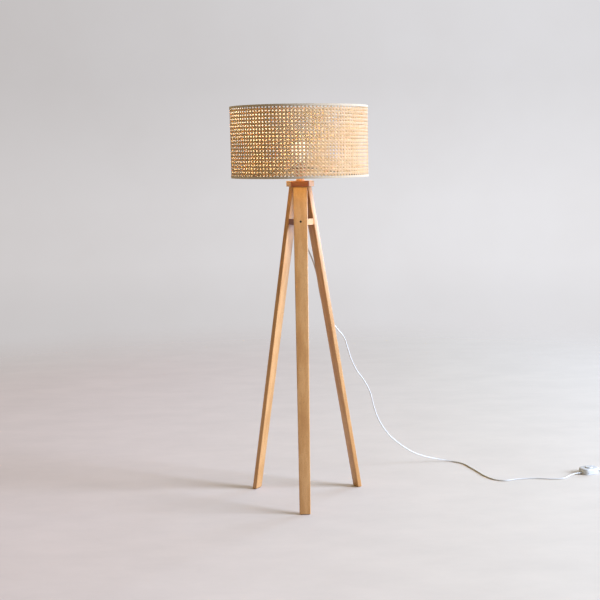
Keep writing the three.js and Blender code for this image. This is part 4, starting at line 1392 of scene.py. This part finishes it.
# floor, background and lamps
surroundings = {
    # painted shade on the wall: its colours and tones darken it to the left, overhead and at the floor
    "wallLeft": rgb(208, 204, 204),
    "wallRight": rgb(232, 231, 234),
    "wallSpan": (-0.32, 0.2),     # sideways part of the looking direction at the wall's two colours
    "wallRise": (-0.2, 0.06),     # upward part of that direction, between the ends of the tones
    "wallTones": ((0.0, 0.9), (0.28, 0.95), (0.4, 1.0), (0.6, 1.0), (1.0, 0.9)),
    "wallStain": (0.975, 0.97, 0.965),
    # painted light: the floor's colour shifts from left to right, standing in for the different light on
    # the two sides
    "floorLeft": rgb(211, 196, 190),
    "floorRight": rgb(207, 197, 186),
    "floorSpan": (-1.2, 1.0),     # metres sideways at the floor's two colours
    "floorSurface": {"Roughness": 0.75, "Specular IOR Level": 0.2},
    "mottle": 0.06,
    "floorSize": 60.0,
    "fade": (2.4, 4.6),           # metres from the lamp, where the floor turns into the background
    "ambientLeft": (0.5, 0.385, 0.15),
    "ambientRight": (0.62, 0.6, 0.59),
    "ambientSpan": (-0.9, 0.9),
    "ambientDepth": (0.55, 1.3),  # from the camera's side to the wall's side
}
lamps = [
    # name, azimuth, elevation, distance, size, watts, colour
    ("keyLamp", -15, 18, 9.0, 4.0, 1620, (0.78, 0.94, 1.22)),
    ("wallLamp", 40, 12, 8.0, 4.0, 330, (0.6, 0.9, 1.35)),
]
lampAim = Vector((0, 0, 0.8))
# warm light that the lit cane throws down on each leg's top
legGlow = {
    "reach": 0.045,
    "height": 1.15,
    "lamp": (42, 0.06, 0.05, 0.02, (1.0, 0.58, 0.03)),  # elevation, distance, size, watts, colour
}


# the wall's colour by looking direction, with painted shade: darker to the left, overhead and where it
# meets the floor
def wallColour(tree, direction):
    s = surroundings
    share = addSpan(tree, direction, "X", s["wallSpan"])
    plain = addMix(tree, share, s["wallLeft"], s["wallRight"])
    rise = addShare(tree, addPart(tree, direction, "Z"), s["wallRise"])
    tones = addRamp(tree, rise, [(at, grey(tone)) for at, tone in s["wallTones"]])
    blotch = addNoise(tree, direction, 9.0, 4.0, 0.6)
    stains = addRamp(tree, blotch, [(0.35, s["wallStain"]), (0.62, grey(1))])
    return addMix(tree, 1.0, addMix(tree, 1.0, plain, tones, "MULTIPLY"), stains, "MULTIPLY")


def makeFloor():
    s = surroundings
    floor = addShape(bpy.ops.mesh.primitive_plane_add, "floor", size=s["floorSize"])
    settle(floor)
    material, tree, shader = startMaterial("studioFloor")
    place = objectPlace(tree)
    plaster = addNoise(tree, stretch(tree, place, (1.0, 2.0, 1.0)), 3.0, 6.0, 0.68)
    tone = addRamp(tree, plaster, [(0.35, grey(1 - s["mottle"])), (0.65, grey(1))])
    # painted light: the floor's colour changes sideways
    side = addSpan(tree, place, "X", s["floorSpan"])
    bare = addMix(tree, side, s["floorLeft"], s["floorRight"])
    setSockets(tree, shader, {"Base Color": addMix(tree, 1.0, bare, tone, "MULTIPLY"), **s["floorSurface"]})
    reach = addNode(tree, "ShaderNodeVectorMath", operation="LENGTH", Vector=place)
    fade = addShare(tree, reach.outputs["Value"], s["fade"], "SMOOTHSTEP")
    clear = tree.nodes.new("ShaderNodeBsdfTransparent")
    mixShaders(tree, fade, shader, clear, findNode(tree, "OUTPUT_MATERIAL"))
    floor.data.materials.append(material)


# the wall shows where the camera, a mirror or clear plastic looks straight at it, and the softer
# ambient light reaches everything else
def makeWorld():
    s = surroundings
    world = bpy.data.worlds.new("studio")
    scene.world = world
    world.use_nodes = True
    tree = world.node_tree
    tree.nodes.clear()
    way = tree.nodes.new("ShaderNodeTexCoord").outputs["Generated"]
    seen = addNode(tree, "ShaderNodeBackground", Color=wallColour(tree, way))
    side = addSpan(tree, way, "X", s["ambientSpan"])
    back = addSpan(tree, way, "Y", s["ambientSpan"])
    light = addNode(tree, "ShaderNodeBackground",
                    Color=addMix(tree, side, s["ambientLeft"], s["ambientRight"]),
                    Strength=addRange(tree, back, *s["ambientDepth"]))
    rays = tree.nodes.new("ShaderNodeLightPath")
    direct = addMaximum(tree, [rays.outputs["Is " + kind + " Ray"]
                               for kind in ("Camera", "Glossy", "Transmission")])
    mixShaders(tree, direct, light, seen, tree.nodes.new("ShaderNodeOutputWorld"))


# the bulb's own light, from inside its globe
def makeBulbLight():
    data = bpy.data.lights.new("bulbLight", "POINT")
    data.energy = bulbLook["watts"]
    data.color = bulbLook["light"]
    data.shadow_soft_size = bulb["radius"] * bulbLook["source"]
    addObject("bulbLight", data).location.z = bulbMiddle


def hangLamp(name, aim, azimuth, elevation, distance, size, watts, colour):
    data = bpy.data.lights.new(name, "AREA")
    data.size = size
    data.energy = watts
    data.color = colour
    lamp = addObject(name, data)
    a, e = math.radians(azimuth), math.radians(elevation)
    way = Vector((math.cos(a) * math.cos(e), math.sin(a) * math.cos(e), math.sin(e)))
    lamp.location = aim + way * distance
    lamp.rotation_euler = way.to_track_quat("Z", "Y").to_euler()


makeFloor()
makeWorld()
for name, *where in lamps:
    hangLamp(name, lampAim, *where)
for name, angle in stand["angles"].items():
    aim = inPlan(angle) * legGlow["reach"]
    aim.z = legGlow["height"]
    hangLamp("glow_" + name, aim, angle, *legGlow["lamp"])
makeBulbLight()
print("stage lit")
